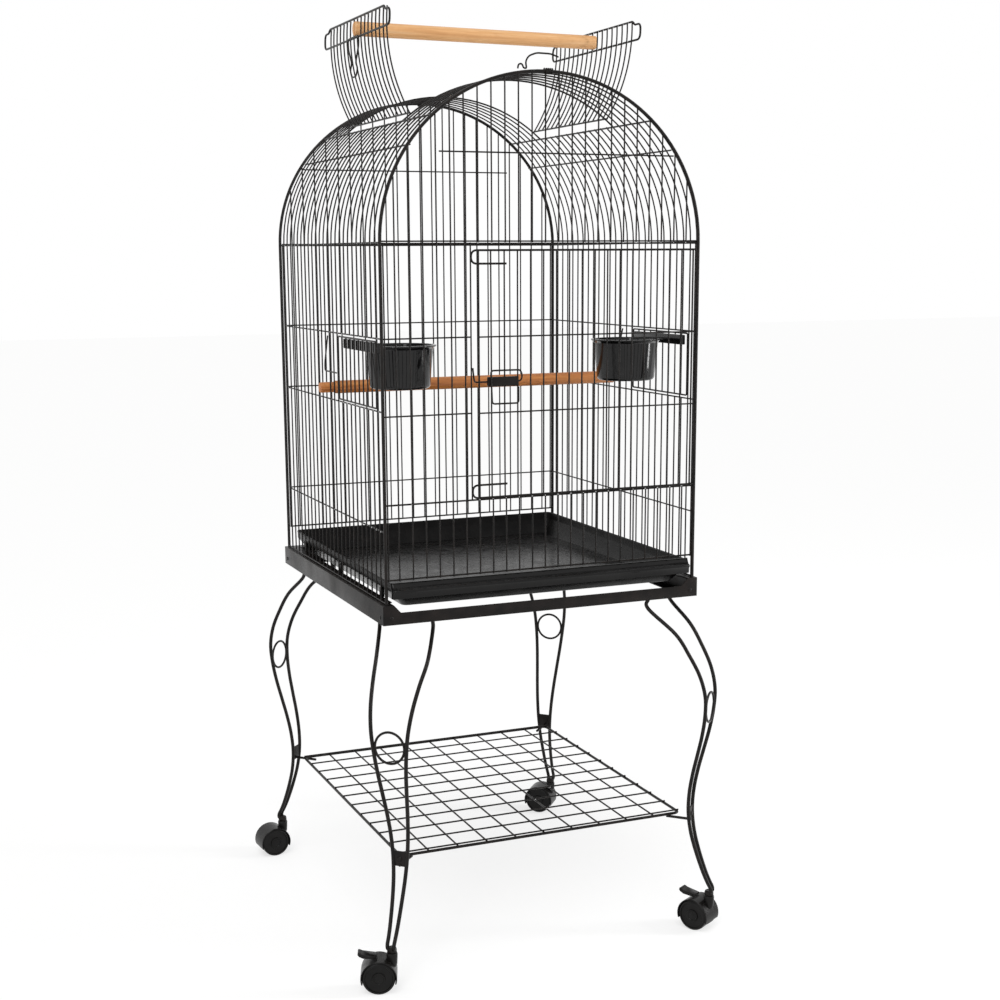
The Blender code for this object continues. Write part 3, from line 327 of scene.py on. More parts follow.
# %% The wire tree
def wire_tree():
    tree, node, link = geometry_tree(
        "round_wire", "Path",
        (("Diameter", "Float", 0.0023), ("Sides", "Int", 10), ("Count", "Int", 1),
         ("Step", "Vector", (0.0, 0.0, 0.0)), ("Cuts", "Int", 0), ("Waver", "Float", 0.0),
         ("Seed", "Float", 0.0), ("Finish", "Material", None)), "Wire")
    given = node("NodeGroupInput")
    curve = node("GeometryNodeMeshToCurve")
    link(given, "Path", curve, "Mesh")
    row = node("GeometryNodeMeshLine", mode="OFFSET")
    link(given, "Count", row, "Count")
    link(given, "Step", row, "Offset")
    copies = node("GeometryNodeInstanceOnPoints")
    link(row, "Mesh", copies, "Points")
    link(curve, "Curve", copies, "Instance")
    real = node("GeometryNodeRealizeInstances")
    link(copies, "Instances", real, "Geometry")
    finer = node("GeometryNodeSubdivideCurve")
    link(real, "Geometry", finer, "Curve")
    link(given, "Cuts", finer, "Cuts")
    # every wire wavers in its own way
    which = node("GeometryNodeCurveOfPoint")
    pace = node("ShaderNodeMath", operation="MULTIPLY_ADD")
    pace.inputs[1].default_value = 3.7
    link(which, "Curve Index", pace, 0)
    link(given, "Seed", pace, 2)
    place = node("GeometryNodeInputPosition")
    drift = node("ShaderNodeTexNoise", noise_dimensions="4D")
    drift.inputs["Scale"].default_value = 6.0
    drift.inputs["Detail"].default_value = 1.0
    link(place, "Position", drift, "Vector")
    link(pace, "Value", drift, "W")
    centred = node("ShaderNodeVectorMath", operation="SUBTRACT")
    centred.inputs[1].default_value = (0.5, 0.5, 0.5)
    link(drift, "Color", centred, 0)
    scaled = node("ShaderNodeVectorMath", operation="SCALE")
    link(centred, "Vector", scaled, 0)
    link(given, "Waver", scaled, "Scale")
    moved = node("GeometryNodeSetPosition")
    link(finer, "Curve", moved, "Geometry")
    link(scaled, "Vector", moved, "Offset")
    half = node("ShaderNodeMath", operation="MULTIPLY")
    half.inputs[1].default_value = 0.5
    link(given, "Diameter", half, 0)
    round_bar = node("GeometryNodeCurvePrimitiveCircle", mode="RADIUS")
    link(given, "Sides", round_bar, "Resolution")
    link(half, "Value", round_bar, "Radius")
    swept = node("GeometryNodeCurveToMesh")
    link(moved, "Geometry", swept, "Curve")
    link(round_bar, "Curve", swept, "Profile Curve")
    swept.inputs["Fill Caps"].default_value = True
    smooth = node("GeometryNodeSetShadeSmooth")
    link(swept, "Mesh", smooth, "Geometry")
    solid = node("GeometryNodeRealizeInstances")
    link(smooth, "Geometry", solid, "Geometry")
    finish = node("GeometryNodeSetMaterial")
    link(solid, "Geometry", finish, "Geometry")
    link(given, "Finish", finish, "Material")
    result = node("NodeGroupOutput")
    link(finish, "Geometry", result, "Wire")
    return tree


WIRE_TREE = wire_tree()
print("wire tree:", len(WIRE_TREE.nodes), "nodes")


# %% From lines to a plain mesh
def run_tree(tree, mesh, values):
    """The result of a tree on a mesh, as a plain mesh."""
    holder = bpy.data.objects.new("holder", mesh)
    bpy.context.scene.collection.objects.link(holder)
    step = holder.modifiers.new("tree", "NODES")
    step.node_group = tree
    names = {item.name: item.identifier for item in tree.interface.items_tree if item.in_out == "INPUT"}
    for name, value in values.items():
        step[names[name]] = value
    bpy.context.view_layer.update()
    graph = bpy.context.evaluated_depsgraph_get()
    made = bpy.data.meshes.new_from_object(holder.evaluated_get(graph))
    holder.modifiers.remove(step)
    bpy.data.objects.remove(holder, do_unlink=True)
    return made


def wire(paths, diameter=WIRE, closed=False, count=1, step=(0.0, 0.0, 0.0), cuts=0, waver=0.0,
         seed=1.0, sides=10, finish=None):
    """Round wire along every path, the whole repeated count times."""
    points = []
    edges = []
    for path in paths:
        first = len(points)
        points += [tuple(p) for p in path]
        edges += [(first + i, first + i + 1) for i in range(len(path) - 1)]
        if closed:
            edges.append((len(points) - 1, first))
    lines = bpy.data.meshes.new("lines")
    lines.from_pydata(points, edges, [])
    return run_tree(WIRE_TREE, lines, {
        "Diameter": diameter, "Sides": sides, "Count": count, "Step": tuple(step), "Cuts": cuts,
        "Waver": waver, "Seed": seed, "Finish": finish or coat})


def piece(name, meshes, body, stands_for=()):
    """One finished piece of several meshes, at the origin, riding on its body."""
    joined = bmesh.new()
    finishes = []
    for mesh in meshes:
        first = len(joined.faces)
        joined.from_mesh(mesh)
        own = mesh.materials[0]
        if own not in finishes:
            finishes.append(own)
        joined.faces.ensure_lookup_table()
        for face in joined.faces[first:]:
            face.material_index = finishes.index(own)
    data = bpy.data.meshes.new(name)
    joined.to_mesh(data)
    joined.free()
    for finish in finishes:
        data.materials.append(finish)
    made = bpy.data.objects.new(name, data)
    bpy.context.scene.collection.objects.link(made)
    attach(made, body)
    if stands_for:
        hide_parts(*stands_for)
    print(name, "faces", len(data.polygons))
    return made


# %% [markdown]
# ## Rounded bends and smooth curves
#
# A wire bent on a machine has straight runs and small round corners. A leg bent over a form is one
# flowing curve. So there are two ways to draw a path: corners rounded with a given radius, and a
# smooth curve through points, worked out as Catmull and Rom did it.

# %% Two ways to draw a path
def rounded(points, radius, steps=6, closed=False):
    path = [Vector(p) for p in points]
    out = []
    for i, corner in enumerate(path):
        if not closed and i in (0, len(path) - 1):
            out.append(corner)
            continue
        before = path[i - 1] - corner
        after = path[(i + 1) % len(path)] - corner
        reach = min(radius, before.length * 0.49, after.length * 0.49)
        first = corner + before.normalized() * reach
        last = corner + after.normalized() * reach
        for k in range(steps + 1):
            t = k / steps
            out.append(first * (1 - t) ** 2 + corner * (2 * t * (1 - t)) + last * t ** 2)
    return out


def flowing(points, steps=8):
    path = [Vector(p) for p in points]
    ends = [path[0] * 2 - path[1]] + path + [path[-1] * 2 - path[-2]]
    out = []
    for i in range(1, len(ends) - 2):
        a, b, c, d = ends[i - 1:i + 3]
        for k in range(steps):
            t = k / steps
            out.append(0.5 * (2 * b + (c - a) * t + (2 * a - 5 * b + 4 * c - d) * t * t
                              + (3 * b - a - 3 * c + d) * t ** 3))
    return out + [path[-1]]


# %% [markdown]
# ## Walls and dome
#
# On the real cage each side wire runs up from the stand and bends over into the dome in one piece. So
# the left and right sides are rows of one long wire: straight up to the foot of the dome, then along a
# quarter of an ellipse, up to the rail beside the roof opening. In front of and behind the opening the
# same wires run on over the top. The cross wires are welded on the inside, one wire's thickness in.

# %% The dome's section and the lines of the grilles
ROOF_RAIL = 0.172
HOOPS = (0.6856, 0.8610, 0.9655)
WALL_FOOT = 0.6145
SIDE_FOOT = STAND_TOP + CLEAR
side_lines = spread(-INSIDE_D, INSIDE_D, 25)
front_lines = [-HALF_W + 2 * HALF_W * i / 24 for i in range(25)]
roof_from = math.acos(ROOF_RAIL / HALF_W)


def dome(angle, inward=0.0):
    return Vector(((HALF_W - inward) * math.cos(angle), (DOME_RISE - inward) * math.sin(angle)))


def dome_height(x, inward=0.0):
    return (DOME_RISE - inward) * math.sqrt(max(0.0, 1 - (x / (HALF_W - inward)) ** 2))


def side_path(side, y, foot=SIDE_FOOT):
    """From the stand up the wall and over to the roof rail."""
    path = [at(side * HALF_W, y, foot)] + [at(side * HALF_W, y, z) for z in spread(foot, SPRING, 4)[1:-1]]
    for angle in spread(0.0, roof_from, 12):
        p = dome(angle)
        path.append(at(side * p.x, y, SPRING + p.y))
    return path


# %% Left and right sides
FEEDER_FIRST = 1
FEEDER_LAST = 10
column = (side_lines[1] - side_lines[0])
for side_name, side in (("left", -1), ("right", 1)):
    rows = []
    whole = side_path(side, side_lines[FEEDER_LAST])
    rows.append(wire([whole], count=15, step=(0, column, 0), waver=0.0009, seed=4.0 + side))
    rows.append(wire([side_path(side, side_lines[FEEDER_FIRST]), side_path(side, -INSIDE_D + EDGE),
                      side_path(side, INSIDE_D - EDGE)], waver=0.0007, seed=9.0 + side))
    below = [at(side * HALF_W, side_lines[2], z) for z in spread(SIDE_FOOT, HOOPS[1], 3)]
    rows.append(wire([below], count=8, step=(0, column, 0), waver=0.0009, seed=14.0 + side))
    above = [p + Vector((0, side_lines[2] - side_lines[FEEDER_LAST], 0)) for p in side_path(
        side, side_lines[FEEDER_LAST], HOOPS[2])]
    rows.append(wire([above], count=8, step=(0, column, 0), waver=0.0007, seed=19.0 + side))
    inner = side * (HALF_W - LAYER)
    cross = [[at(x, y, z) for y in (-INSIDE_D, INSIDE_D)]
             for x, z in ((side * HALF_W, SIDE_FOOT + EDGE), (inner, SPRING))]
    rows.append(wire(cross, HEAVY, cuts=8, waver=0.0006, seed=24.0 + side))
    rail = dome(roof_from)
    rows.append(wire([[at(side * (rail.x + 0.0009), y, SPRING + rail.y - 0.0012)
                       for y in (-INSIDE_D, INSIDE_D)]], HEAVY, cuts=8, waver=0.0006, seed=29.0 + side))
    piece(side_name + "_side_wires", rows, "cage", [side_name + "_wall", side_name + "_vault"])

# %% Over the top, in front of and behind the opening
over = [at(p.x, 0, SPRING + p.y) for p in (dome(a) for a in spread(roof_from, math.pi - roof_from, 26))]
for name, lines, inner_line, outer_line in (
        ("front", side_lines[1:6], side_lines[6] - EDGE, -INSIDE_D + EDGE),
        ("back", side_lines[20:25], side_lines[19] + EDGE, INSIDE_D - EDGE)):
    rows = [wire([[p + Vector((0, lines[0], 0)) for p in over]], count=5, step=(0, column, 0),
                 waver=0.0007, seed=33.0)]
    for y, size in ((inner_line, HEAVY), (outer_line, WIRE)):
        rows.append(wire([[p + Vector((0, y, 0)) for p in over]], size))
    piece(name + "_roof_wires", rows, "cage", [name + "_strip"])

# %% [markdown]
# ## Front and back
#
# The back wall is a plain row of wires. The front wall has the large opening for the door, so most of
# its wires stop at the sill, and a fixed panel of six columns stays on the left. The round ends of the
# dome are closed by short wires of different lengths, each cut where it meets the arch.

# %% Back wall and the three rows of cross wires
back = [at(front_lines[1], HALF_D, z) for z in spread(WALL_FOOT, SPRING, 5)]
pitch = front_lines[2] - front_lines[1]
rows = [wire([back], count=23, step=(pitch, 0, 0), waver=0.0009, seed=41.0),
        wire([[at(x, HALF_D, z) for z in (WALL_FOOT, SPRING)]
              for x in (-INSIDE_W + EDGE, INSIDE_W - EDGE)]),
        wire([[at(-INSIDE_W, HALF_D - LAYER, z), at(INSIDE_W, HALF_D - LAYER, z)]
              for z in (WALL_FOOT + EDGE, SPRING)], HEAVY, cuts=8, waver=0.0006, seed=42.0)]
piece("back_wall_wires", rows, "cage", ["back_wall"])

hoop_x = HALF_W - LAYER
hoop_y = HALF_D - LAYER
hoops = []
for z in HOOPS:
    hoops.append(rounded([at(-hoop_x, -INSIDE_D - 0.0015, z), at(-hoop_x, hoop_y, z), at(hoop_x, hoop_y, z),
                          at(hoop_x, -INSIDE_D - 0.0015, z)], 0.010))
piece("wall_hoops", [wire(hoops, WIRE, sides=12)], "cage", ["hoop_low", "hoop_mid", "hoop_high"])

# %% Front wall
SILL = 0.7265
PANEL_EDGE = -0.1170
PANEL_MID = 0.8550
HOOP_HIGH = HOOPS[2]
front_y = -HALF_D
low_row = [at(front_lines[6], front_y, z) for z in spread(WALL_FOOT, SILL, 2)]
tall_row = [at(front_lines[1], front_y, z) for z in spread(WALL_FOOT, SPRING, 5)]
rows = [wire([low_row], count=18, step=(pitch, 0, 0), waver=0.0007, seed=51.0),
        wire([tall_row], count=5, step=(pitch, 0, 0), waver=0.0008, seed=52.0),
        wire([[at(x, front_y, foot), at(x, front_y, SPRING)]
              for x, foot in ((-INSIDE_W + EDGE, WALL_FOOT), (INSIDE_W - EDGE, WALL_FOOT),
                              (PANEL_EDGE - EDGE, SILL), (front_lines[6], SILL))]),
        wire([[at(x, front_y + LAYER, z) for x in (-INSIDE_W, INSIDE_W)]
              for z in (WALL_FOOT + EDGE, SILL, SPRING - EDGE)], HEAVY, cuts=8, waver=0.0005, seed=53.0),
        wire([[at(-INSIDE_W, front_y + LAYER, z), at(PANEL_EDGE - 0.0005, front_y + LAYER, z)]
              for z in (PANEL_MID, HOOP_HIGH)], cuts=3, waver=0.0005, seed=54.0)]
piece("front_wall_wires", rows, "cage", ["front_wall"])

# %% Arches and corner posts, with a small coil of wire wound on each peak
arch_top = spread(0.0, math.pi, 64)
for name, y in (("front_arch", front_y), ("back_arch", HALF_D)):
    path = [at(HALF_W, y, SIDE_FOOT)]
    path += [at(dome(a).x, y, SPRING + dome(a).y) for a in arch_top]
    path.append(at(-HALF_W, y, SIDE_FOOT))
    coil = [at(-0.002 + 0.0030 * turn, y + 0.0036 * math.sin(2 * math.pi * turn),
               SPRING + DOME_RISE + 0.0036 * math.cos(2 * math.pi * turn)) for turn in spread(0.0, 4.0, 64)]
    piece(name + "_rod", [wire([path], ARCH_ROD, sides=16), wire([coil], 0.0024)], "cage", [name])

# %% Ends of the dome
LUNETTE_RAIL = 0.126
for name, side in (("front", -1), ("back", 1)):
    y = side * HALF_D
    uprights = []
    for x in front_lines[1:-1]:
        top = SPRING + dome_height(x, 0.0022)
        uprights.append([at(-side * x, y, z) for z in spread(SPRING, top, 3)])
    rows = [wire(uprights, waver=0.0006, seed=61.0 + side),
            wire([[at(-INSIDE_W, y - side * LAYER, SPRING + 0.0018),
                   at(INSIDE_W, y - side * LAYER, SPRING + 0.0018)]], cuts=6, waver=0.0004)]
    piece(name + "_end_wires", rows, "cage", [name + "_lunette"])
    low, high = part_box(name + "_lunette_cross")
    cross_y = y - side * LAYER
    z = SPRING + LUNETTE_RAIL
    path = [Vector((low.x, middle.y + cross_y, z + lift)), Vector((high.x, middle.y + cross_y, z + lift))]
    piece(name + "_end_cross", [wire([path], cuts=4, waver=0.0004)], "cage", [name + "_lunette_cross"])

# %% Rails under the dome's wires
rails = []
for node in ("left_roof_rail", "right_roof_rail"):
    low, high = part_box(node)
    x = (low.x + high.x) / 2
    z = (low.z + high.z) / 2
    rails.append([Vector((x, low.y, z + 0.0006)), Vector((x, high.y, z + 0.0006))])
piece("roof_rails", [wire(rails, 0.0025, cuts=8, waver=0.0004)], "cage",
      ["left_roof_rail", "right_roof_rail"])

# %% [markdown]
# ## Spot welds
#
# Where two wires cross, the welder presses them together and a little bead is left beside the joint.
# The beads are tiny, but there are hundreds of them, and they catch the light all over the cage. A
# second tree puts one small ball on every vertex of a mesh that holds nothing but crossing points.

# %% The weld tree
def weld_tree():
    tree, node, link = geometry_tree(
        "weld_beads", "Crossings",
        (("Bead", "Float", 0.0015), ("Seed", "Int", 3), ("Finish", "Material", None)), "Beads")
    given = node("NodeGroupInput")
    ball = node("GeometryNodeMeshIcoSphere")
    ball.inputs["Subdivisions"].default_value = 1
    link(given, "Bead", ball, "Radius")
    vary = node("FunctionNodeRandomValue", data_type="FLOAT")
    vary.inputs[2].default_value = 0.75
    vary.inputs[3].default_value = 1.1
    link(given, "Seed", vary, "Seed")
    beads = node("GeometryNodeInstanceOnPoints")
    link(given, "Crossings", beads, "Points")
    link(ball, "Mesh", beads, "Instance")
    link(vary, 1, beads, "Scale")
    real = node("GeometryNodeRealizeInstances")
    link(beads, "Instances", real, "Geometry")
    smooth = node("GeometryNodeSetShadeSmooth")
    link(real, "Geometry", smooth, "Geometry")
    finish = node("GeometryNodeSetMaterial")
    link(smooth, "Geometry", finish, "Geometry")
    link(given, "Finish", finish, "Material")
    result = node("NodeGroupOutput")
    link(finish, "Geometry", result, "Beads")
    return tree


WELD_TREE = weld_tree()


def welds(points, bead=0.0015, seed=3):
    mesh = bpy.data.meshes.new("crossings")
    mesh.from_pydata([tuple(p) for p in points], [], [])
    return run_tree(WELD_TREE, mesh, {"Bead": bead, "Seed": seed, "Finish": coat})


# %% Beads on the walls
crossings = []
for z in HOOPS + (SPRING,):
    for y in side_lines[1:-1]:
        for side in (-1, 1):
            crossings.append(at(side * (HALF_W - LAYER / 2), y, z))
    for x in front_lines[1:-1]:
        crossings.append(at(x, HALF_D - LAYER / 2, z))
for x in front_lines[1:-1]:
    crossings.append(at(x, front_y + LAYER / 2, SILL))
    crossings.append(at(x, front_y + LAYER / 2, SPRING))
piece("wall_weld_beads", [welds(crossings)], "cage")

# %% [markdown]
# ## Front door
#
# The door is a tall grille with rails outside it. The top and bottom rails run on past the leaf and
# turn back in a hook, which keeps the door from swinging in. At the hinge side each rail ends in an
# eye that turns on an upright of the cage. The latch is a bent wire in a folded sleeve, with a loop
# for a finger and an upright point that slips behind the last wire of the fixed panel.

# %% Door leaf, rails and cross wires
DOOR_LEFT = -0.1063
DOOR_HINGE = 0.2467
DOOR_LOW = 0.7300
DOOR_HIGH = 1.0890
RAIL_ROD = 0.0034
rail_y = -HALF_D - CAD_HALF - CLEAR - RAIL_ROD / 2
door_rail_y = rail_y + 0.0004
door_lines = spread(DOOR_LEFT - EDGE, DOOR_HINGE + EDGE, 17)
door_pitch = door_lines[1] - door_lines[0]
leaf = [at(door_lines[1], front_y, z) for z in spread(DOOR_LOW - 0.0005, DOOR_HIGH + 0.001, 5)]
rows = [wire([leaf], count=16, step=(door_pitch, 0, 0), waver=0.0008, seed=71.0),
        wire([[at(x, front_y, DOOR_LOW - 0.0005), at(x, front_y, DOOR_HIGH + 0.001)]
              for x in (DOOR_LEFT, DOOR_HINGE)], HEAVY)]
rows.append(welds([at(x, front_y - 0.0012, z) for x in door_lines[1:-1]
                   for z in (DOOR_LOW, PANEL_MID, HOOP_HIGH, DOOR_HIGH)], 0.0013, 5))
piece("door_wires", rows, "front_door", ["front_door"])

HOOK = 0.0190
hook_x = DOOR_LEFT - 0.0125
rails = []
eyes = []
for z, back_to in ((DOOR_HIGH, -HOOK), (DOOR_LOW, HOOK)):
    rails.append(rounded([at(DOOR_HINGE, door_rail_y, z), at(hook_x, door_rail_y, z),
                          at(hook_x, door_rail_y, z + back_to),
                          at(hook_x + 0.055, door_rail_y, z + back_to)], HOOK * 0.49, 8))
    eyes.append([at(DOOR_HINGE + 0.0024 * math.cos(a), rail_y + 0.0024 * math.sin(a), z + 0.0006)
                 for a in spread(0, 2 * math.pi, 14)[:-1]])
piece("door_rails", [wire(rails, 0.0031, sides=12), wire(eyes, 0.0022, closed=True)], "front_door",
      ["door_top_rail", "door_bottom_rail"])
cross = [[at(DOOR_LEFT - 0.001, door_rail_y + 0.0003, z), at(DOOR_HINGE + 0.001, door_rail_y + 0.0003, z)]
         for z in (PANEL_MID, HOOP_HIGH)]
piece("door_cross_wires", [wire(cross, cuts=6, waver=0.0003)], "front_door",
      ["door_cross_low", "door_cross_high"])


# %% Solid pieces: boxes with soft edges, turned shapes
def soft_edges(bm, angle=35.0):
    for face in bm.faces:
        face.smooth = True
    for edge in bm.edges:
        edge.smooth = edge.calc_face_angle(0.0) < math.radians(angle)


def mesh_from(bm, finish, matrix=None, angle=35.0):
    if matrix is not None:
        bmesh.ops.transform(bm, matrix=matrix, verts=bm.verts)
    bmesh.ops.recalc_face_normals(bm, faces=bm.faces)
    soft_edges(bm, angle)
    mesh = bpy.data.meshes.new("solid")
    bm.to_mesh(mesh)
    bm.free()
    mesh.materials.append(finish)
    return mesh


def block(low, high, finish, radius=0.0006, steps=3, matrix=None):
    """A box with rounded edges."""
    bm = bmesh.new()
    bmesh.ops.create_cube(bm, size=1.0)
    low = Vector(low)
    high = Vector(high)
    bmesh.ops.scale(bm, vec=high - low, verts=bm.verts)
    bmesh.ops.translate(bm, vec=(low + high) / 2, verts=bm.verts)
    bmesh.ops.bevel(bm, geom=list(bm.edges), offset=radius, segments=steps, affect="EDGES", profile=0.5)
    return mesh_from(bm, finish, matrix, 40.0)


def lathe(profile, finish, sides=48, matrix=None, closed=False, angle=35.0):
    """A profile of (radius, height) turned about Z. A closed profile makes a ring."""
    bm = bmesh.new()
    rings = []
    for radius, height in profile:
        if radius < 1e-7:
            rings.append([bm.verts.new((0, 0, height))])
            continue
        rings.append([bm.verts.new((radius * math.cos(2 * math.pi * i / sides),
                                    radius * math.sin(2 * math.pi * i / sides), height))
                      for i in range(sides)])
    pairs = list(zip(rings, rings[1:]))
    if closed:
        pairs.append((rings[-1], rings[0]))
    for a, b in pairs:
        for i in range(sides):
            j = (i + 1) % sides
            if len(a) == 1:
                bm.faces.new((a[0], b[i], b[j]))
            elif len(b) == 1:
                bm.faces.new((a[i], a[j], b[0]))
            else:
                bm.faces.new((a[i], a[j], b[j], b[i]))
    return mesh_from(bm, finish, matrix, angle)


def skin(rings, finish, matrix=None, angle=40.0, turn=1):
    """Faces between rings of equal count, with the first and last ring closed."""
    bm = bmesh.new()
    layers = [[bm.verts.new(p) for p in ring] for ring in rings]
    for a, b in zip(layers, layers[1:]):
        for i in range(len(a)):
            j = (i + 1) % len(a)
            bm.faces.new((a[i], a[j], b[j], b[i]))
    bm.faces.new(layers[0][::turn])
    bm.faces.new(layers[-1][::-turn])
    return mesh_from(bm, finish, matrix, angle)


def axis_matrix(place, direction):
    """Puts a shape that was turned about Z on another axis."""
    turn = Vector((0, 0, 1)).rotation_difference(Vector(direction)).to_matrix().to_4x4()
    return Matrix.Translation(place) @ turn


def carve(mesh, cutters, operation="DIFFERENCE"):
    """A mesh with others cut out of it, or joined to it."""
    holder = bpy.data.objects.new("carved", mesh)
    bpy.context.scene.collection.objects.link(holder)
    helpers = []
    for cutter in cutters:
        helper = bpy.data.objects.new("cutter", cutter)
        bpy.context.scene.collection.objects.link(helper)
        helpers.append(helper)
        step = holder.modifiers.new("cut", "BOOLEAN")
        step.operation = operation
        step.solver = "EXACT"
        step.object = helper
    bpy.context.view_layer.update()
    graph = bpy.context.evaluated_depsgraph_get()
    made = bpy.data.meshes.new_from_object(holder.evaluated_get(graph))
    for item in helpers + [holder]:
        bpy.data.objects.remove(item, do_unlink=True)
    bm = bmesh.new()
    bm.from_mesh(made)
    soft_edges(bm, 30.0)
    bm.to_mesh(made)
    bm.free()
    return made


# %% Door latch
LATCH_Z = 0.9005
LATCH_WIRE = 0.0026
SLEEVE = (-0.095, -0.047)
sleeve_y = -HALF_D - CAD_HALF - CLEAR - 0.0035
sleeve = block(at(SLEEVE[0], sleeve_y - 0.0033, LATCH_Z - 0.0070),
               at(SLEEVE[1], sleeve_y + 0.0034, LATCH_Z + 0.0070), sheet_coat, 0.0018, 5)
lips = [block(at(x - 0.0022, sleeve_y - 0.0035, LATCH_Z - 0.0070),
              at(x + 0.0022, sleeve_y + 0.0030, LATCH_Z + 0.0070), sheet_coat, 0.0006, 3)
        for x in (SLEEVE[0] + 0.0022, SLEEVE[1] - 0.0022)]
piece("door_latch_cover", [sleeve] + lips, "front_door", ["door_latch_sleeve"])
hook_gap_x = (DOOR_LEFT + PANEL_EDGE) / 2
loop_y = sleeve_y - 0.0035 - CLEAR - LATCH_WIRE / 2
corners = [at(hook_gap_x - 0.0022, front_y + 0.006, LATCH_Z + 0.020),
           at(hook_gap_x, front_y + 0.006, LATCH_Z),
           at(hook_gap_x, sleeve_y, LATCH_Z), at(SLEEVE[1] + 0.005, sleeve_y, LATCH_Z),
           at(SLEEVE[1] + 0.005, loop_y, LATCH_Z + 0.008), at(SLEEVE[1] + 0.002, loop_y, LATCH_Z + 0.0165),
           at(SLEEVE[0] + 0.003, loop_y, LATCH_Z + 0.0165), at(SLEEVE[0] + 0.005, loop_y, LATCH_Z - 0.032),
           at(SLEEVE[1] - 0.001, loop_y, LATCH_Z - 0.032), at(SLEEVE[1] - 0.001, loop_y, LATCH_Z - 0.008)]
piece("door_latch_wire", [wire([rounded(corners, 0.0045, 6)], LATCH_WIRE, sides=12)], "door_latch",
      ["door_latch_hook"])

# %% [markdown]
# ## Feeder doors
#
# Behind each cup a small door opens in the side wall, so that the cup can be filled from outside. Its
# latch is one bent wire that slides in front of the wall and stands up as a handle.

# %% Feeder doors and their latches
feeder_from = side_lines[FEEDER_FIRST]
feeder_to = side_lines[FEEDER_LAST]
start = feeder_from + EDGE + 0.0008
end = feeder_to - EDGE - 0.0015
feeder_lines = spread(start, end, 9)
low_z = HOOPS[1] + 0.0030
high_z = HOOPS[2] - 0.0030
for side_name, side in (("left", -1), ("right", 1)):
    x = side * HALF_W
    first = [at(x, feeder_lines[1], z) for z in spread(low_z + 0.0006, high_z - 0.0006, 2)]
    leaf_step = feeder_lines[1] - feeder_lines[0]
    rows = [wire([first], count=8, step=(0, leaf_step, 0), waver=0.0006, seed=81.0 + side),
            wire([rounded([at(x, start + EDGE, low_z + EDGE * 0.9), at(x, end - EDGE, low_z + EDGE * 0.9),
                           at(x, end - EDGE, high_z - EDGE * 0.9),
                           at(x, start + EDGE, high_z - EDGE * 0.9)],
                          0.003, 4, closed=True)], 0.0026, closed=True)]
    piece(side_name + "_feeder_wires", rows, side_name + "_feeder_door", [side_name + "_feeder_door"])
    x = side * (HALF_W + CAD_HALF + CLEAR + LATCH_WIRE / 2)
    from_y = feeder_to - 0.0010
    z = 0.905
    corners = [at(x, from_y, z), at(x, from_y + 0.060, z), at(x, from_y + 0.060, z + 0.012),
               at(x, from_y + 0.042, z + 0.055)]
    piece(side_name + "_feeder_latch_wire", [wire([rounded(corners, 0.005, 6)], 0.0024, sides=12)],
          side_name + "_feeder_latch", [side_name + "_feeder_latch"])

# %% [markdown]
# ## Roof flaps
#
# Both halves of the roof opening are curved flaps, standing up. Each is a row of bent wires, with a
# straight hinge wire at the bottom and a heavier rod bent round into one long loop at the top, whose
# rounded ends stick out past the flap. The row is again one wire, repeated along the hinge.

# %% The flap's curve
FLAP_HINGE_X = 0.162
FLAP_HEIGHT = 0.1464
FLAP_LEAN = 0.0422
FLAP_BULGE = 0.012
FLAP_HALF = 0.138
EAR = 0.022
FRAME_LOW = 0.820
flap_angle = math.atan2(FLAP_HEIGHT, FLAP_LEAN)
flap_chord = math.hypot(FLAP_HEIGHT, FLAP_LEAN)
hinge_z = pivot("left_flap_hinge").z - lift
steeper = {"left": math.radians(4.0), "right": 0.0}


def flap_point(share, out=0.0, up=0.0):
    bulge = FLAP_BULGE * 4 * share * (1 - share)
    tilt = math.atan2(FLAP_BULGE * 4 * (1 - 2 * share), flap_chord)
    along = Vector((math.cos(flap_angle + up), math.sin(flap_angle + up)))
    outward = Vector((along.y, -along.x))
    normal = outward * math.cos(tilt) - along * math.sin(tilt)
    return Vector((FLAP_HINGE_X, hinge_z)) + along * flap_chord * share + outward * bulge + normal * out


# %% Flap wires and frames
frame_out = CAD_HALF + CLEAR + RAIL_ROD / 2
flap_lines = spread(-FLAP_HALF - EDGE, FLAP_HALF + EDGE, 16)
for side_name, side in (("left", -1), ("right", 1)):
    up = steeper[side_name]

    def flap_at(share, y, out=0.0, side=side, up=up):
        p = flap_point(share, out, up)
        return at(side * p.x, y, p.y)

    bend = [flap_at(s, flap_lines[1]) for s in spread(0.0, 1.0, 14)]
    rows = [wire([bend], count=15, step=(0, flap_lines[1] - flap_lines[0], 0), waver=0.0010,
                 seed=91.0 + side),
            wire([[flap_at(s, y) for s in spread(0.0, 1.0, 14)] for y in (-FLAP_HALF, FLAP_HALF)]),
            wire([[flap_at(0.0, -FLAP_HALF - 0.001), flap_at(0.0, FLAP_HALF + 0.001)]], HEAVY),
            welds([flap_at(s, y, 0.0014) for y in flap_lines[1:-1] for s in (FRAME_LOW, 0.994)], 0.0013, 7)]
    piece(side_name + "_flap_wires", rows, side_name + "_flap", [side_name + "_flap"])
    loop = []
    for end_side in (-1, 1):
        ear = [flap_at(1.0, end_side * (FLAP_HALF - 0.004), frame_out - 0.0003),
               flap_at(0.965, end_side * (FLAP_HALF + 0.002), frame_out - 0.0003),
               flap_at(0.965, end_side * (FLAP_HALF + EAR), frame_out - 0.0003),
               flap_at(FRAME_LOW, end_side * (FLAP_HALF + EAR), frame_out - 0.0003)]
        loop += ear if end_side < 0 else ear[::-1]
    top_rod = wire([rounded(loop, 0.0095, 8, closed=True)], 0.0032, closed=True, sides=12)
    piece(side_name + "_flap_rod", [top_rod], side_name + "_flap", [side_name + "_flap_frame"])

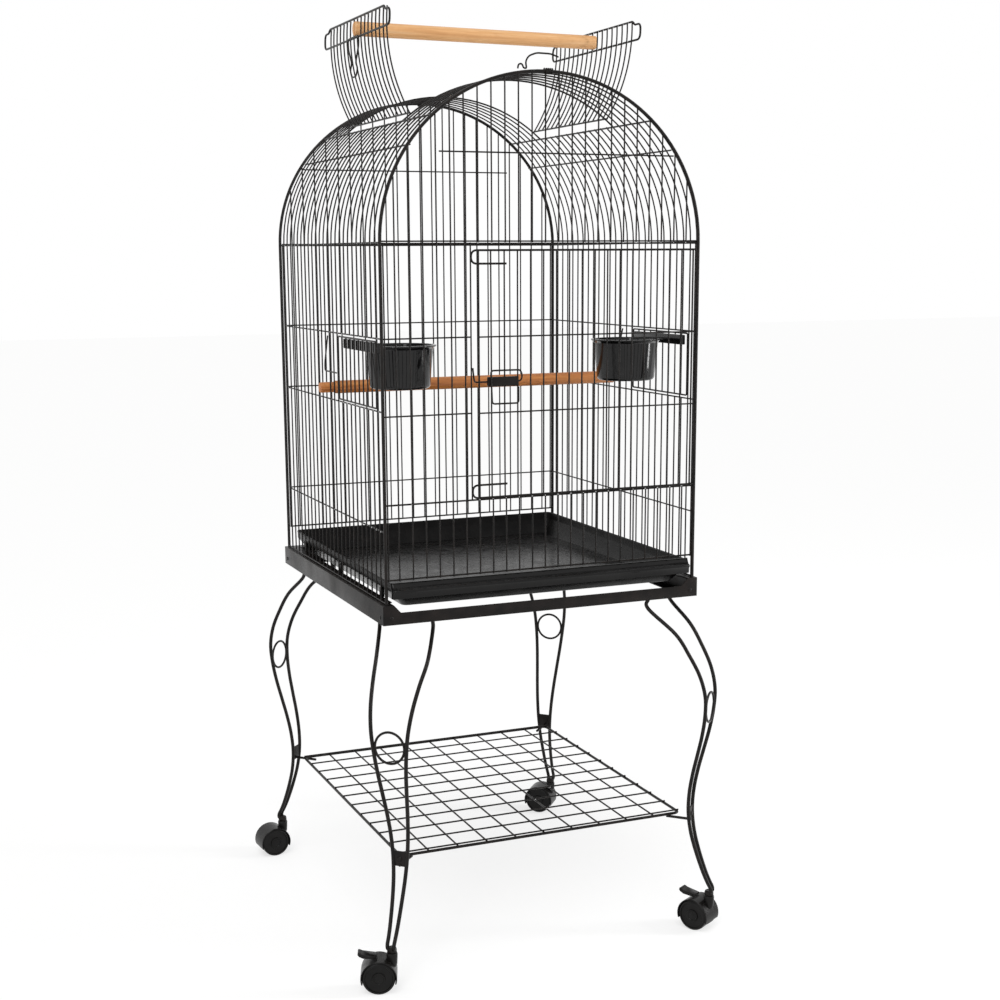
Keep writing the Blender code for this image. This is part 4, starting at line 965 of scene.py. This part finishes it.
# %% The wire latch that hangs on the left flap
latch_top = flap_point(FRAME_LOW, frame_out + RAIL_ROD / 2 + CLEAR + LATCH_WIRE / 2, steeper["left"])
half_loop = [(0.026, 0.000), (0.026, 0.014), (0.009, 0.038), (0.019, 0.046), (0.010, 0.058)]
hanging = [(-y, down) for y, down in half_loop] + half_loop[::-1]
path = [at(-latch_top.x, y, latch_top.y - down) for y, down in hanging]
piece("flap_latch_wire", [wire([rounded(path, 0.0062, 6, closed=True)], LATCH_WIRE, closed=True, sides=12)],
      "flap_latch", ["flap_latch"])

# %% Roof latches
ROOF_HOOK = [(-0.0435, 0.0000), (-0.0425, 0.0060), (-0.0370, 0.0070), (-0.0345, 0.0010), (-0.0298, 0.0006),
             (-0.0315, 0.0100), (-0.0265, 0.0180), (-0.0140, 0.0225), (0.008, 0.0220), (0.020, 0.018)]
HOOK_WIRE = 0.0025
hook_z = pivot("front_roof_latch_hinge").z - lift
front_hook = rounded([at(x, -HALF_D, hook_z + z) for x, z in ROOF_HOOK], 0.0045, 6)
back_hook = rounded([at(-x, HALF_D - z, hook_z) for x, z in ROOF_HOOK], 0.0045, 6)
piece("front_roof_latch_wire", [wire([front_hook], HOOK_WIRE, sides=12)], "front_roof_latch",
      ["front_roof_latch"])
piece("back_roof_latch_wire", [wire([back_hook], HOOK_WIRE, sides=12)], "back_roof_latch",
      ["back_roof_latch"])

# %% [markdown]
# ## Perches
#
# Each perch is a turned dowel with broken edges at its ends. A turned profile does that, with a small
# arc where the end meets the side. The roof perch is sawn open at both ends to sit over a flap wire,
# so the same slots are cut out of it here. The lower perch is turned down at the left to pass between
# two wires of the wall.

# %% Roof perch
ROOF_PERCH = 0.0215


def dowel(length, radius, finish, matrix, ease=0.0016):
    profile = [(0, 0), (radius - ease, 0)]
    profile += [(radius - ease * (1 - math.sin(a)), ease * (1 - math.cos(a)))
                for a in spread(0, math.pi / 2, 4)[1:]]
    upper = [(r, length - h) for r, h in profile]
    sides = [(radius, h) for h in spread(ease, length - ease, 6)[1:-1]]
    return lathe(profile + sides + upper[::-1], finish, 56, matrix)


left_low = flap_point(FRAME_LOW, frame_out, steeper["left"])
right_low = flap_point(FRAME_LOW, frame_out)
seat = RAIL_ROD / 2 + 0.0006 + ROOF_PERCH / 2
perch_left = at(-left_low.x - 0.0015, 0, left_low.y + seat)
perch_right = at(right_low.x + 0.0015, 0, right_low.y + seat)
along = perch_right - perch_left
turned = dowel(along.length, ROOF_PERCH / 2, top_wood, axis_matrix(perch_left, along))
SLOT = 0.0044
slots = []
for end_side, up in ((-1, steeper["left"]), (1, 0.0)):
    depth = SLOT / 2 + (0.010 if end_side > 0 else 0.0)
    near = end_side * (flap_point(FRAME_LOW, up=up).x - 0.0015 - depth)
    far = end_side * (flap_point(FRAME_LOW, frame_out, up).x + 0.02)
    slots.append(block(at(min(near, far), -SLOT / 2, right_low.y - 0.02),
                       at(max(near, far), SLOT / 2, right_low.y + 0.06), top_wood, 0.0002, 1))
piece("roof_perch_wood", [carve(turned, slots)], "roof_perch", ["roof_perch"])

# %% Inner perch
INNER_PERCH_Z = 0.879
INNER_PERCH = 0.0200
SPIGOT = 0.0164
half_length = HALF_W - 0.003 - CLEAR - CAD_HALF - 0.004
bar = dowel(half_length * 2, INNER_PERCH / 2, low_wood,
            axis_matrix(at(-half_length, 0, INNER_PERCH_Z), (1, 0, 0)))
spigot = dowel(HALF_W * 2 + 0.015 + 0.0015, SPIGOT / 2, low_wood,
               axis_matrix(at(-HALF_W - 0.015, 0, INNER_PERCH_Z), (1, 0, 0)), 0.0022)
piece("inner_perch_wood", [carve(bar, [spigot], "UNION")], "cage", ["inner_perch"])

# %% [markdown]
# ## Cups
#
# A cup is a deep bowl with a flat, rolled rim, so it is turned from one closed profile that goes up
# the outside, round the rim and down the inside. A long bar with soft edges hangs it on the wall.

# %% Cup bowls
CUP_Y = -0.155
CUP_INSET = 0.065
CUP_RADIUS = 0.051
CUP_HEIGHT = 0.064
CUP_RIM_Z = 0.9505
PLATE_HEIGHT = 0.0150
PLATE_HALF = 0.079
foot = CUP_RIM_Z - CUP_HEIGHT
base = CUP_RADIUS * 0.90


def cup_profile():
    wall = 0.0018
    rim = CUP_RADIUS + 0.0045
    top = CUP_RIM_Z + 0.0012
    outer = [(0, 0), (base - 0.006, 0)]
    outer += [(base - 0.006 + 0.006 * math.sin(a), 0.006 * (1 - math.cos(a)))
              for a in spread(0, math.pi / 2, 5)[1:]]
    outer += [(base + (CUP_RADIUS - base) * s - 0.0002, 0.006 + (CUP_HEIGHT - 0.011) * s)
              for s in (0.35, 0.7, 1.0)]
    outer = [(r, foot + h) for r, h in outer]
    roll = [(rim - 0.0012 + 0.0012 * math.cos(a), top - 0.0024 + 0.0012 * math.sin(a) + 0.0008)
            for a in spread(-math.pi / 2, math.pi / 2, 6)]
    lip = [(CUP_RADIUS - wall + 0.0014, top - 0.0004), (CUP_RADIUS - wall + 0.0004, top - 0.0014)]
    inner = [(base - wall + (CUP_RADIUS - base) * s, foot + 0.006 + (CUP_HEIGHT - 0.011) * s)
             for s in (1.0, 0.6, 0.2)]
    inner += [(base - wall - 0.004 * (1 - math.cos(a)), foot + 0.0058 - 0.004 * math.sin(a))
              for a in spread(0, math.pi / 2, 4)]
    return outer + roll + lip + inner + [(0, foot + wall)]


for side_name, side in (("left", -1), ("right", 1)):
    x = side * (HALF_W - CUP_INSET)
    centre = at(x, CUP_Y, 0)
    bowl = lathe(cup_profile(), cup_gloss, 72, Matrix.Translation(centre))
    wall_x = side * (HALF_W - CAD_HALF - CLEAR)
    inner_x = side * (HALF_W - 0.0100)
    plate_z = CUP_RIM_Z - PLATE_HEIGHT * 0.45
    plate = block(at(min(wall_x, inner_x), CUP_Y - PLATE_HALF, plate_z),
                  at(max(wall_x, inner_x), CUP_Y + PLATE_HALF, plate_z + PLATE_HEIGHT),
                  cup_gloss, 0.0014, 4)
    arm_x = x + side * CUP_RADIUS * 0.5
    bridge = block(at(min(arm_x, inner_x + side * 0.001), CUP_Y - CUP_RADIUS * 0.6, CUP_RIM_Z - 0.0014),
                   at(max(arm_x, inner_x + side * 0.001), CUP_Y + CUP_RADIUS * 0.6, CUP_RIM_Z + 0.0010),
                   cup_gloss, 0.0007)
    opening = lathe([(0, CUP_RIM_Z - 0.01), (CUP_RADIUS - 0.0012, CUP_RIM_Z - 0.01),
                     (CUP_RADIUS - 0.0012, CUP_RIM_Z + 0.02), (0, CUP_RIM_Z + 0.02)], cup_gloss, 72,
                    Matrix.Translation(centre))
    bridge = carve(bridge, [opening])
    piece(side_name + "_cup_shell", [bowl, bridge, plate], side_name + "_cup", [side_name + "_cup"])

# %% [markdown]
# ## Tray
#
# The tray is one pressed sheet: a flat floor, sloping walls, an upright band above them and a rim that
# is folded out. Rings of points, each a rectangle with round corners, are joined from the inside floor
# up and over the rim and back down the outside. Small glides under the slopes run on the stand's side
# rails. The front lip is a second folded strip with a bead pressed along it.

# %% Tray pan
TRAY_LIP_WIDTH = 0.495
tray_half = INSIDE_W - 0.008 + 0.0008
tray_low = STAND_TOP + CLEAR
tray_high = tray_low + 0.030
tray_back = HALF_D - 0.0095
lip_back = -HALF_D - ARCH_ROD / 2 - 0.003
tray_front = lip_back - 0.00075
FRONT_SET_BACK = 0.0085     # the rim's front stands back, and the lip slopes down from it
band_low = 0.5970       # the upright band under the rim ends here
well_low = 0.5740       # and the sloping well goes down to here


def round_rectangle(inset, radius, z, steps=6):
    x = tray_half - inset
    y0 = tray_front + inset + (FRONT_SET_BACK if z > band_low + 0.0007 else 0.0)
    y1 = tray_back - inset
    out = []
    for cx, cy, first in ((x - radius, y1 - radius, 0), (-x + radius, y1 - radius, 1),
                          (-x + radius, y0 + radius, 2), (x - radius, y0 + radius, 3)):
        for a in spread(first * math.pi / 2, (first + 1) * math.pi / 2, steps):
            out.append(at(cx + radius * math.cos(a), cy + radius * math.sin(a), z))
    return out


sheet = 0.0013
layers = []
for inset, radius, z in ((0.050, 0.010, well_low + sheet + 0.0007), (0.046, 0.010, well_low + sheet),
                         (0.0235, 0.008, well_low + sheet), (0.0208, 0.009, well_low + sheet + 0.0012),
                         (0.0042, 0.009, band_low + 0.0006), (0.0032, 0.009, band_low + 0.0022),
                         (0.0026, 0.009, tray_high - 0.0022), (0.0020, 0.009, tray_high - 0.0006),
                         (0.0008, 0.010, tray_high), (0.0001, 0.010, tray_high - 0.0008),
                         (0.0001, 0.010, tray_high - 0.0022), (0.0007, 0.010, tray_high - 0.0027),
                         (0.0007, 0.010, band_low + 0.0009), (0.0014, 0.010, band_low),
                         (0.0186, 0.009, well_low + 0.0012), (0.0204, 0.009, well_low + 0.0002),
                         (0.0220, 0.008, well_low)):
    layers.append(round_rectangle(inset, radius, z))
pan = skin(layers, tray_gloss, None, 50.0, -1)
GLIDE_X = 0.2418
GLIDE_Y = (-0.205, 0.0, 0.205)
glides = []
for side in (-1, 1):
    for y in GLIDE_Y:
        x = side * GLIDE_X
        glides.append(block(at(x - 0.0022, y - 0.006, tray_low),
                            at(x + 0.0022, y + 0.006, band_low - 0.0030), tray_gloss, 0.0008))

# %% Tray lip
bead = [(0.0100, 0.0303), (0.0096, 0.0311), (0.0072, 0.0311), (0.0054, 0.0292), (0.0002, 0.0228),
        (-0.0018, 0.0222), (-0.0036, 0.0217), (-0.0044, 0.0200), (-0.0038, 0.0182), (-0.0020, 0.0170),
        (-0.0019, 0.0098), (-0.0014, 0.0086), (-0.0004, 0.0085), (0.0006, 0.0092), (0.0006, 0.0166),
        (0.0010, 0.0208), (0.0062, 0.0276)]


def pushed(section, x0, x1, finish, ease=0.004):
    """A closed section of (y, z), pushed along X, drawn in a little at both ends."""
    stations = [(x0, 0.55), (x0 + ease * 0.4, 0.92), (x0 + ease, 1.0)]
    stations += [(x, 1.0) for x in spread(x0 + ease, x1 - ease, 8)[1:-1]]
    stations += [(x1 - ease, 1.0), (x1 - ease * 0.4, 0.92), (x1, 0.55)]
    start = bead[0][0]
    rings = [[at(x, lip_back + start + (y - start) * share, tray_low + z) for y, z in section]
             for x, share in stations]
    return skin(rings, finish, None, 60.0)


lip = pushed(bead, -TRAY_LIP_WIDTH / 2, TRAY_LIP_WIDTH / 2, lip_gloss)
piece("tray_pan", [pan, lip] + glides, "tray", ["tray"])

# %% [markdown]
# ## Stand frame
#
# The stand's top is a frame of folded sheet. Its own CAD shape is right, so a merged copy gets what a
# press leaves behind: rounded folds. A round rivet sits on the outside near both ends of each rail.

# %% Stand rails
def merged_copy(node):
    bm = bmesh.new()
    bm.from_mesh(frame["nodes"][node].data)
    bmesh.ops.remove_doubles(bm, verts=bm.verts, dist=0.00002)
    bmesh.ops.dissolve_limit(bm, angle_limit=math.radians(1.0), verts=bm.verts, edges=bm.edges)
    return bm


bm = merged_copy("stand_frame")
sharp = [edge for edge in bm.edges if edge.calc_face_angle(0.0) > math.radians(25.0)]
bmesh.ops.bevel(bm, geom=sharp, offset=0.0007, segments=3, affect="EDGES", profile=0.5, clamp_overlap=True)
soft_edges(bm, 40.0)
folded = bpy.data.meshes.new("folded")
bm.to_mesh(folded)
bm.free()
folded.materials.clear()
folded.materials.append(sheet_coat)
rivet = [(0, 0.0011), (0.0016, 0.0010), (0.0028, 0.0006), (0.0034, 0.0), (0.0034, -0.0008), (0, -0.0008)]
rivets = []
rail_mid = STAND_TOP - 0.020
stand_x = 0.262
stand_y = 0.2695
for sx in (-1, 1):
    for y in (-0.255, 0.255):
        rivets.append(lathe(rivet, sheet_coat, 20, axis_matrix(at(sx * stand_x, y, rail_mid), (sx, 0, 0))))
for sy in (-1, 1):
    for x in (-0.249, 0.249):
        rivets.append(lathe(rivet, sheet_coat, 20, axis_matrix(at(x, sy * stand_y, rail_mid), (0, sy, 0))))
piece("stand_rails", [folded] + rivets, "cage", ["stand_frame"])

# %% [markdown]
# ## Legs
#
# Each leg is two rods, welded under the stand, that swing out over the corner, draw in towards the
# shelf and meet again above the caster. A ring sits between them, and a bracket holds the shelf. The
# long S is drawn from the height and reach of its four bends, and a heel under the ankle bows out past
# the caster's stem and hooks back to it.

# %% Legs
LEG_ROD = 0.0060
FOOT_Z = 0.065
FOOT_OUT = 0.0445
SHOULDER_Z = 0.500      # the rods' heights and reach at their bends
KNEE_Z = 0.390
WAIST_Z = 0.205
ANKLE_Z = 0.100
SHOULDER_OUT = 0.0080
KNEE_OUT = 0.0413
WAIST_OUT = 0.0206
ANKLE_OUT = 0.0380
SHOULDER_SPREAD = 0.0418    # half the way between the two rods
FOOT_SPREAD = 0.0056
RING_Z = 0.376
RING_ROD = 0.0038
BRACKET_Z = 0.195
SHELF_Z = 0.190
PEG = 0.0044             # the pin that carries the shelf
CORNER_X = 0.2275
CORNER_Y = 0.2649
rail_foot = STAND_TOP - 0.030
CORNERS = (("front_left", -1, -1), ("front_right", 1, -1), ("back_left", -1, 1), ("back_right", 1, 1))


def leg_out(z):
    """How far a leg reaches out over the corner at a height."""
    if z > KNEE_Z:
        share = (SHOULDER_Z - z) / (SHOULDER_Z - KNEE_Z)
        return SHOULDER_OUT + (KNEE_OUT - SHOULDER_OUT) * math.sin(math.pi / 2 * share)
    if z > WAIST_Z:
        share = (KNEE_Z - z) / (KNEE_Z - WAIST_Z)
        return KNEE_OUT + (WAIST_OUT - KNEE_OUT) * (1 - math.cos(math.pi * share)) / 2
    share = (WAIST_Z - z) / (WAIST_Z - ANKLE_Z)
    return WAIST_OUT + (ANKLE_OUT - WAIST_OUT) * (1 - math.cos(math.pi / 2 * share))


def leg_spread(z):
    share = (z - FOOT_Z) / (SHOULDER_Z - FOOT_Z)
    return FOOT_SPREAD + (SHOULDER_SPREAD - FOOT_SPREAD) * share ** 1.5


def corner_at(sx, sy, out, z):
    return at(sx * (CORNER_X + out), sy * (CORNER_Y + out), z)


# Under the ankle both rods bow out past the caster's stem and hook back to it: height, reach, spread.
HEEL = [(0.0820, FOOT_OUT - 0.0008, 0.0057), (0.0735, FOOT_OUT + 0.0024, 0.0055),
        (0.0670, FOOT_OUT + 0.0030, 0.0050), (0.0640, FOOT_OUT + 0.0002, 0.0040)]


def leg_rod(sx, sy, hand):
    if hand > 0:
        top = at(sx * 0.181, sy * (stand_y - 0.0115), rail_foot)
    else:
        top = at(sx * (stand_x - 0.0145), sy * 0.208, rail_foot)
    path = [top, top - Vector((0, 0, 0.016))]
    stations = [(z, leg_out(z), leg_spread(z)) for z in spread(SHOULDER_Z, ANKLE_Z, 12)]
    for z, out, apart in stations + HEEL:
        half = apart / math.sqrt(2)
        path.append(at(sx * (CORNER_X + out - hand * half), sy * (CORNER_Y + out + hand * half), z))
    return path


collar = [(0, 0.0030), (0.0052, 0.0030), (0.0066, 0.0020), (0.0073, -0.0006), (0.0074, -0.0034),
          (0.0068, -0.0048), (0, -0.0050)]
for leg_name, sx, sy in CORNERS:
    outward = Vector((sx, sy, 0)).normalized()
    across = Vector((-sx, sy, 0)).normalized()
    rods = [flowing(leg_rod(sx, sy, hand), 8) for hand in (1, -1)]
    parts = [wire(rods, LEG_ROD, sides=16)]
    centre = corner_at(sx, sy, leg_out(RING_Z), RING_Z)
    ring_radius = leg_spread(RING_Z) - LEG_ROD / 2 - RING_ROD / 2 + 0.0012
    ring = [centre + across * (math.cos(a) * ring_radius) + Vector((0, 0, math.sin(a) * ring_radius))
            for a in spread(0, 2 * math.pi, 40)[:-1]]
    parts.append(wire([ring], RING_ROD, closed=True, sides=12))
    centre = corner_at(sx, sy, leg_out(BRACKET_Z), BRACKET_Z)
    basis = Matrix((outward, across, Vector((0, 0, 1)))).transposed().to_4x4()
    basis.translation = centre
    parts.append(block((-0.0012, -0.0125, -0.012), (0.0012, 0.0125, 0.012), sheet_coat, 0.0008, 3, basis))
    peg_z = SHELF_Z - 0.0025 - CLEAR - PEG / 2
    peg_start = corner_at(sx, sy, leg_out(BRACKET_Z), peg_z)
    parts.append(wire([[peg_start + outward * PEG / 2, peg_start - outward * 0.040]], PEG, sides=12))
    parts.append(lathe([(0, 0.0022), (0.0022, 0.0020), (0.0036, 0.0010), (0.0040, 0.0), (0, -0.0005)],
                       sheet_coat, 20, axis_matrix(centre + outward * 0.0012, outward)))
    parts.append(lathe(collar, sheet_coat, 32, Matrix.Translation(corner_at(sx, sy, FOOT_OUT, FOOT_Z))))
    piece(leg_name + "_leg_rods", parts, "cage", [leg_name + "_leg"])

# %% [markdown]
# ## Shelf
#
# The shelf is a welded mesh with a heavier rim, again a job for the row in the wire tree: one wire
# front to back repeated across, one wire across repeated from front to back, one layer up.

# %% Shelf
shelf_x = 0.242
shelf_y = 0.265
columns = spread(-shelf_x, shelf_x, 10)
rows_y = spread(-shelf_y + 0.005, shelf_y - 0.005, 11)
rim_x = shelf_x - 0.002
rim_y = shelf_y - 0.002
rim = rounded([at(x, y, SHELF_Z)
               for x, y in ((-rim_x, -rim_y), (rim_x, -rim_y), (rim_x, rim_y), (-rim_x, rim_y))],
              0.010, 6, closed=True)
lengthwise = [at(columns[1], y, SHELF_Z + 0.0008) for y in spread(-rim_y, rim_y, 6)]
piece("shelf_rim", [wire([rim], 0.0046, closed=True, sides=12),
                    wire([lengthwise], 0.0028, count=9, step=(columns[1] - columns[0], 0, 0), waver=0.0006,
                         seed=101.0)],
      "cage", ["shelf_frame"])
cross_z = SHELF_Z + 0.0008 + 0.0025
first_row, inner_row, last_row = [[at(x, y, cross_z) for x in spread(-shelf_x + 0.001, shelf_x - 0.001, 6)]
                                  for y in (rows_y[0] + 0.0015, rows_y[1], rows_y[-1] - 0.0015)]
grid = [wire([inner_row], 0.0026, count=10, step=(0, rows_y[1] - rows_y[0], 0), waver=0.0006, seed=102.0),
        wire([first_row, last_row], 0.0026, waver=0.0004),
        welds([at(x, y, cross_z - 0.0012) for x in columns[1:-1] for y in rows_y[1:-1]], 0.0016, 9)]
piece("shelf_cross_wires", grid, "cage", ["shelf_wires"])

# %% [markdown]
# ## Casters
#
# A twin-wheel caster is a hood with a web down its middle and a wheel on each side. The hood is a
# turned T shape, cut off low at the front and back. The wheels have rounded shoulders, a raised rim,
# a dished face and a cap over the axle. The front casters carry a brake lever, a rocker with a ribbed
# toe that stands off the hood.

# %% Hood, wheels and lever
WHEEL_RADIUS = 0.025
WHEEL_WIDTH = 0.0150
WEB = 0.0080
HOOD_WALL = 0.0018
hood_radius = WHEEL_RADIUS + 0.0008 + HOOD_WALL
hood_half = WEB / 2 + 0.0006 + WHEEL_WIDTH + HOOD_WALL * 0.3


def hood_profile():
    room = WHEEL_RADIUS + 0.0008
    top = hood_radius
    return [(0.0033, -WEB / 2), (room - 0.002, -WEB / 2), (room, -WEB / 2 - 0.002),
            (room, -hood_half + 0.0003),
            (room + 0.0006, -hood_half), (top - 0.0008, -hood_half), (top - 0.0001, -hood_half + 0.0008),
            (top, -hood_half * 0.5), (top, hood_half * 0.5), (top - 0.0001, hood_half - 0.0008),
            (top - 0.0008, hood_half), (room + 0.0006, hood_half), (room, hood_half - 0.0003),
            (room, WEB / 2 + 0.002), (room - 0.002, WEB / 2), (0.0033, WEB / 2)]


def wheel_profile(near, far):
    """From the inner face to the dished outer face of one wheel, near and far along the axle."""
    hand = 1 if far > near else -1
    r = WHEEL_RADIUS
    return [(0.0030, near), (r - 0.0026, near), (r - 0.0008, near + hand * 0.0006),
            (r, near + hand * 0.0024), (r, far - hand * 0.0034),
            (r - 0.0006, far - hand * 0.0014), (r - 0.0022, far - hand * 0.0004),
            (r - 0.0038, far - hand * 0.0002), (r - 0.0046, far - hand * 0.0020),
            (r - 0.0062, far - hand * 0.0026),
            (r * 0.52, far - hand * 0.0022), (0.0102, far - hand * 0.0020), (0.0096, far - hand * 0.0004),
            (0.0078, far - hand * 0.0002), (0.0072, far - hand * 0.0010),
            (0.0030, far - hand * 0.0006), (0.0, far)]


# A brake lever from the side: along the caster and up, from its pivot to the toe that curls up.
ROCKER = [(0.0030, 0.0000), (0.0120, 0.0002), (0.0230, 0.0010), (0.0290, 0.0045), (0.0312, 0.0075),
          (0.0306, 0.0090), (0.0285, 0.0088), (0.0240, 0.0070), (0.0120, 0.0050), (0.0030, 0.0036)]


def rocker(reach, low_z, matrix):
    rings = [[(reach + 0.017 + (x - 0.017) * (0.9 + scale * 0.1), y, low_z + 0.0003 + z * scale)
              for x, z in ROCKER]
             for y, scale in ((-0.0090, 0.82), (-0.0080, 1.0), (0.0080, 1.0), (0.0090, 0.82))]
    return skin(rings, hood_plastic, matrix)


for caster_name, sx, sy in CORNERS:
    body = caster_name + "_caster"
    stem = pivot(caster_name + "_swivel")
    axle = pivot(caster_name + "_wheel_axle")
    ahead = Vector((axle.x - stem.x, axle.y - stem.y, 0)).normalized()
    sideways = Vector((-ahead.y, ahead.x, 0))
    on_axle = axis_matrix(axle, sideways)
    hood = lathe(hood_profile(), hood_plastic, 64, on_axle, closed=True)
    frame_turn = Matrix((ahead, sideways, Vector((0, 0, 1)))).transposed().to_4x4()
    frame_turn.translation = Vector((stem.x, stem.y, lift))
    below = block((-0.06, -0.04, -0.02), (0.09, 0.04, WHEEL_RADIUS - 0.0085),
                  hood_plastic, 0.0001, 1, frame_turn)
    hood = carve(hood, [below])
    neck_foot = WHEEL_RADIUS + 0.012
    neck = lathe([(0, neck_foot), (0.0060, neck_foot), (0.0078, neck_foot + 0.004), (0.0083, 0.050),
                  (0.0085, 0.0570), (0.0078, 0.0592), (0, 0.0594)], hood_plastic, 32,
                 Matrix.Translation(Vector((stem.x, stem.y, lift))))
    room = lathe([(0, WEB / 2 + 0.0001), (WHEEL_RADIUS + 0.0008, WEB / 2 + 0.0001),
                  (WHEEL_RADIUS + 0.0008, 0.04), (0, 0.04)], hood_plastic, 64, on_axle)
    other_room = lathe([(0, -0.04), (WHEEL_RADIUS + 0.0008, -0.04),
                        (WHEEL_RADIUS + 0.0008, -WEB / 2 - 0.0001), (0, -WEB / 2 - 0.0001)],
                       hood_plastic, 64, on_axle)
    neck = carve(neck, [room, other_room])
    piece(caster_name + "_hood", [hood, neck], body, [caster_name + "_caster_hood"])
    near = WEB / 2 + 0.0006
    wheels = [lathe(wheel_profile(near, near + WHEEL_WIDTH), wheel_plastic, 72, on_axle),
              lathe(wheel_profile(-near, -near - WHEEL_WIDTH), wheel_plastic, 72, on_axle),
              lathe([(0, -near - 0.001), (0.0030, -near - 0.001), (0.0030, near + 0.001),
                     (0, near + 0.001)], wheel_plastic, 24, on_axle)]
    piece(caster_name + "_wheel_pair", wheels, caster_name + "_wheels", [caster_name + "_wheels"])
    if sy < 0:
        low_z = hood_radius + WHEEL_RADIUS + CLEAR
        reach = Vector((axle.x - stem.x, axle.y - stem.y, 0)).length
        plate = rocker(reach, low_z, frame_turn)
        ribs = [block((reach + 0.0262 + k * 0.0022, -0.0078, low_z + 0.0062 + k * 0.0012),
                      (reach + 0.0274 + k * 0.0022, 0.0078, low_z + 0.0088 + k * 0.0008),
                      hood_plastic, 0.0004, 2, frame_turn) for k in range(2)]
        piece(caster_name + "_brake_rocker", [plate] + ribs, caster_name + "_brake",
              [caster_name + "_brake_lever"])

# %% [markdown]
# ## Floor, light and camera
#
# The floor is one pale plane. Part of it is plain paper that takes the shadow, and part glows softly
# for the camera and for reflections, so that it runs into the white background without an edge while
# the shadow stays. The light is a broad, soft sun from the front left, a pale sky all round, and two
# tall soft boxes, which draw the bright lines down the cups and the rods.

# %% Floor
def direct_rays(node, link):
    """1 for the camera's rays and for those that a shiny or clear surface sends on, otherwise 0."""
    path = node("ShaderNodeLightPath")
    either = node("ShaderNodeMath", operation="MAXIMUM")
    link(path, "Is Camera Ray", either, 0)
    link(path, "Is Glossy Ray", either, 1)
    any_of = node("ShaderNodeMath", operation="MAXIMUM")
    link(either, "Value", any_of, 0)
    link(path, "Is Transmission Ray", any_of, 1)
    return any_of


def floor_finish():
    made = bpy.data.materials.new("pale_floor")
    made.use_nodes = True
    tree = made.node_tree
    node, link = builder(tree)
    shader = tree.nodes["Principled BSDF"]
    shader.inputs["Base Color"].default_value = (0.93, 0.93, 0.93, 1.0)
    shader.inputs["Roughness"].default_value = 0.9
    shader.inputs["Specular IOR Level"].default_value = 0.0
    glow = node("ShaderNodeEmission")
    glow.inputs["Color"].default_value = (1.0, 1.0, 0.998, 1.0)
    glow.inputs["Strength"].default_value = 1.22
    share = node("ShaderNodeMath", operation="MULTIPLY")
    share.inputs[1].default_value = 0.55
    link(direct_rays(node, link), "Value", share, 0)
    mix = node("ShaderNodeMixShader")
    link(share, "Value", mix, "Fac")
    link(shader, "BSDF", mix, 1)
    link(glow, "Emission", mix, 2)
    link(mix, "Shader", tree.nodes["Material Output"], "Surface")
    return made


bm = bmesh.new()
bmesh.ops.create_grid(bm, x_segments=1, y_segments=1, size=20.0)
floor_mesh = bpy.data.meshes.new("floor")
bm.to_mesh(floor_mesh)
bm.free()
floor_mesh.materials.append(floor_finish())
floor = bpy.data.objects.new("floor", floor_mesh)
bpy.context.scene.collection.objects.link(floor)

# %% Sky
world = bpy.data.worlds.new("studio")
bpy.context.scene.world = world
world.use_nodes = True
sky = world.node_tree
background = sky.nodes["Background"]
background.inputs["Color"].default_value = (1.0, 1.0, 1.0, 1.0)
node, link = builder(sky)
strength = node("ShaderNodeMapRange")
strength.inputs["To Min"].default_value = 0.50
strength.inputs["To Max"].default_value = 1.0
link(direct_rays(node, link), "Value", strength, "Value")
link(strength, "Result", background, "Strength")

# %% Lamps
sun = bpy.data.lights.new("broad_sun", "SUN")
sun.energy = 0.80
sun.angle = math.radians(32.0)
sun_object = bpy.data.objects.new("broad_sun", sun)
bpy.context.scene.collection.objects.link(sun_object)
sun_object.rotation_euler = Vector((0.28, 0.42, -1.0)).to_track_quat("-Z", "Y").to_euler()


def soft_box(name, place, aim, wide, high, watts):
    lamp = bpy.data.lights.new(name, "AREA")
    lamp.shape = "RECTANGLE"
    lamp.size = wide
    lamp.size_y = high
    lamp.energy = watts
    made = bpy.data.objects.new(name, lamp)
    bpy.context.scene.collection.objects.link(made)
    made.location = place
    made.rotation_euler = (Vector(aim) - Vector(place)).to_track_quat("-Z", "Y").to_euler()
    return made


soft_box("left_soft_box", (-2.1, -2.5, 1.5), (0, 0, 0.9), 0.50, 2.2, 14.0)
soft_box("right_soft_box", (2.8, -1.2, 1.4), (0, 0, 0.9), 0.35, 2.2, 44.0)

# %% Camera
YAW = 0.3965
PITCH = -0.1937
ROLL = -0.0054
ahead = Vector((math.sin(YAW) * math.cos(PITCH), math.cos(YAW) * math.cos(PITCH), math.sin(PITCH)))
level = Vector((math.cos(YAW), -math.sin(YAW), 0))
upward = level.cross(ahead)
rolled = level * math.cos(ROLL) + upward * math.sin(ROLL)
upward = rolled.cross(ahead)
lens = bpy.data.cameras.new("camera")
lens.sensor_width = 36.0
lens.lens = 57.18
lens.shift_x = 0.0021
lens.shift_y = 0.0677
lens.clip_start = 0.01
camera = bpy.data.objects.new("camera", lens)
bpy.context.scene.collection.objects.link(camera)
turn = Matrix((rolled, upward, -ahead)).transposed().to_4x4()
turn.translation = Vector((middle.x - 0.9809, middle.y - 2.4210, 1.0805 + lift))
camera.matrix_world = turn
bpy.context.scene.camera = camera
bpy.context.scene.view_settings.view_transform = "Standard"
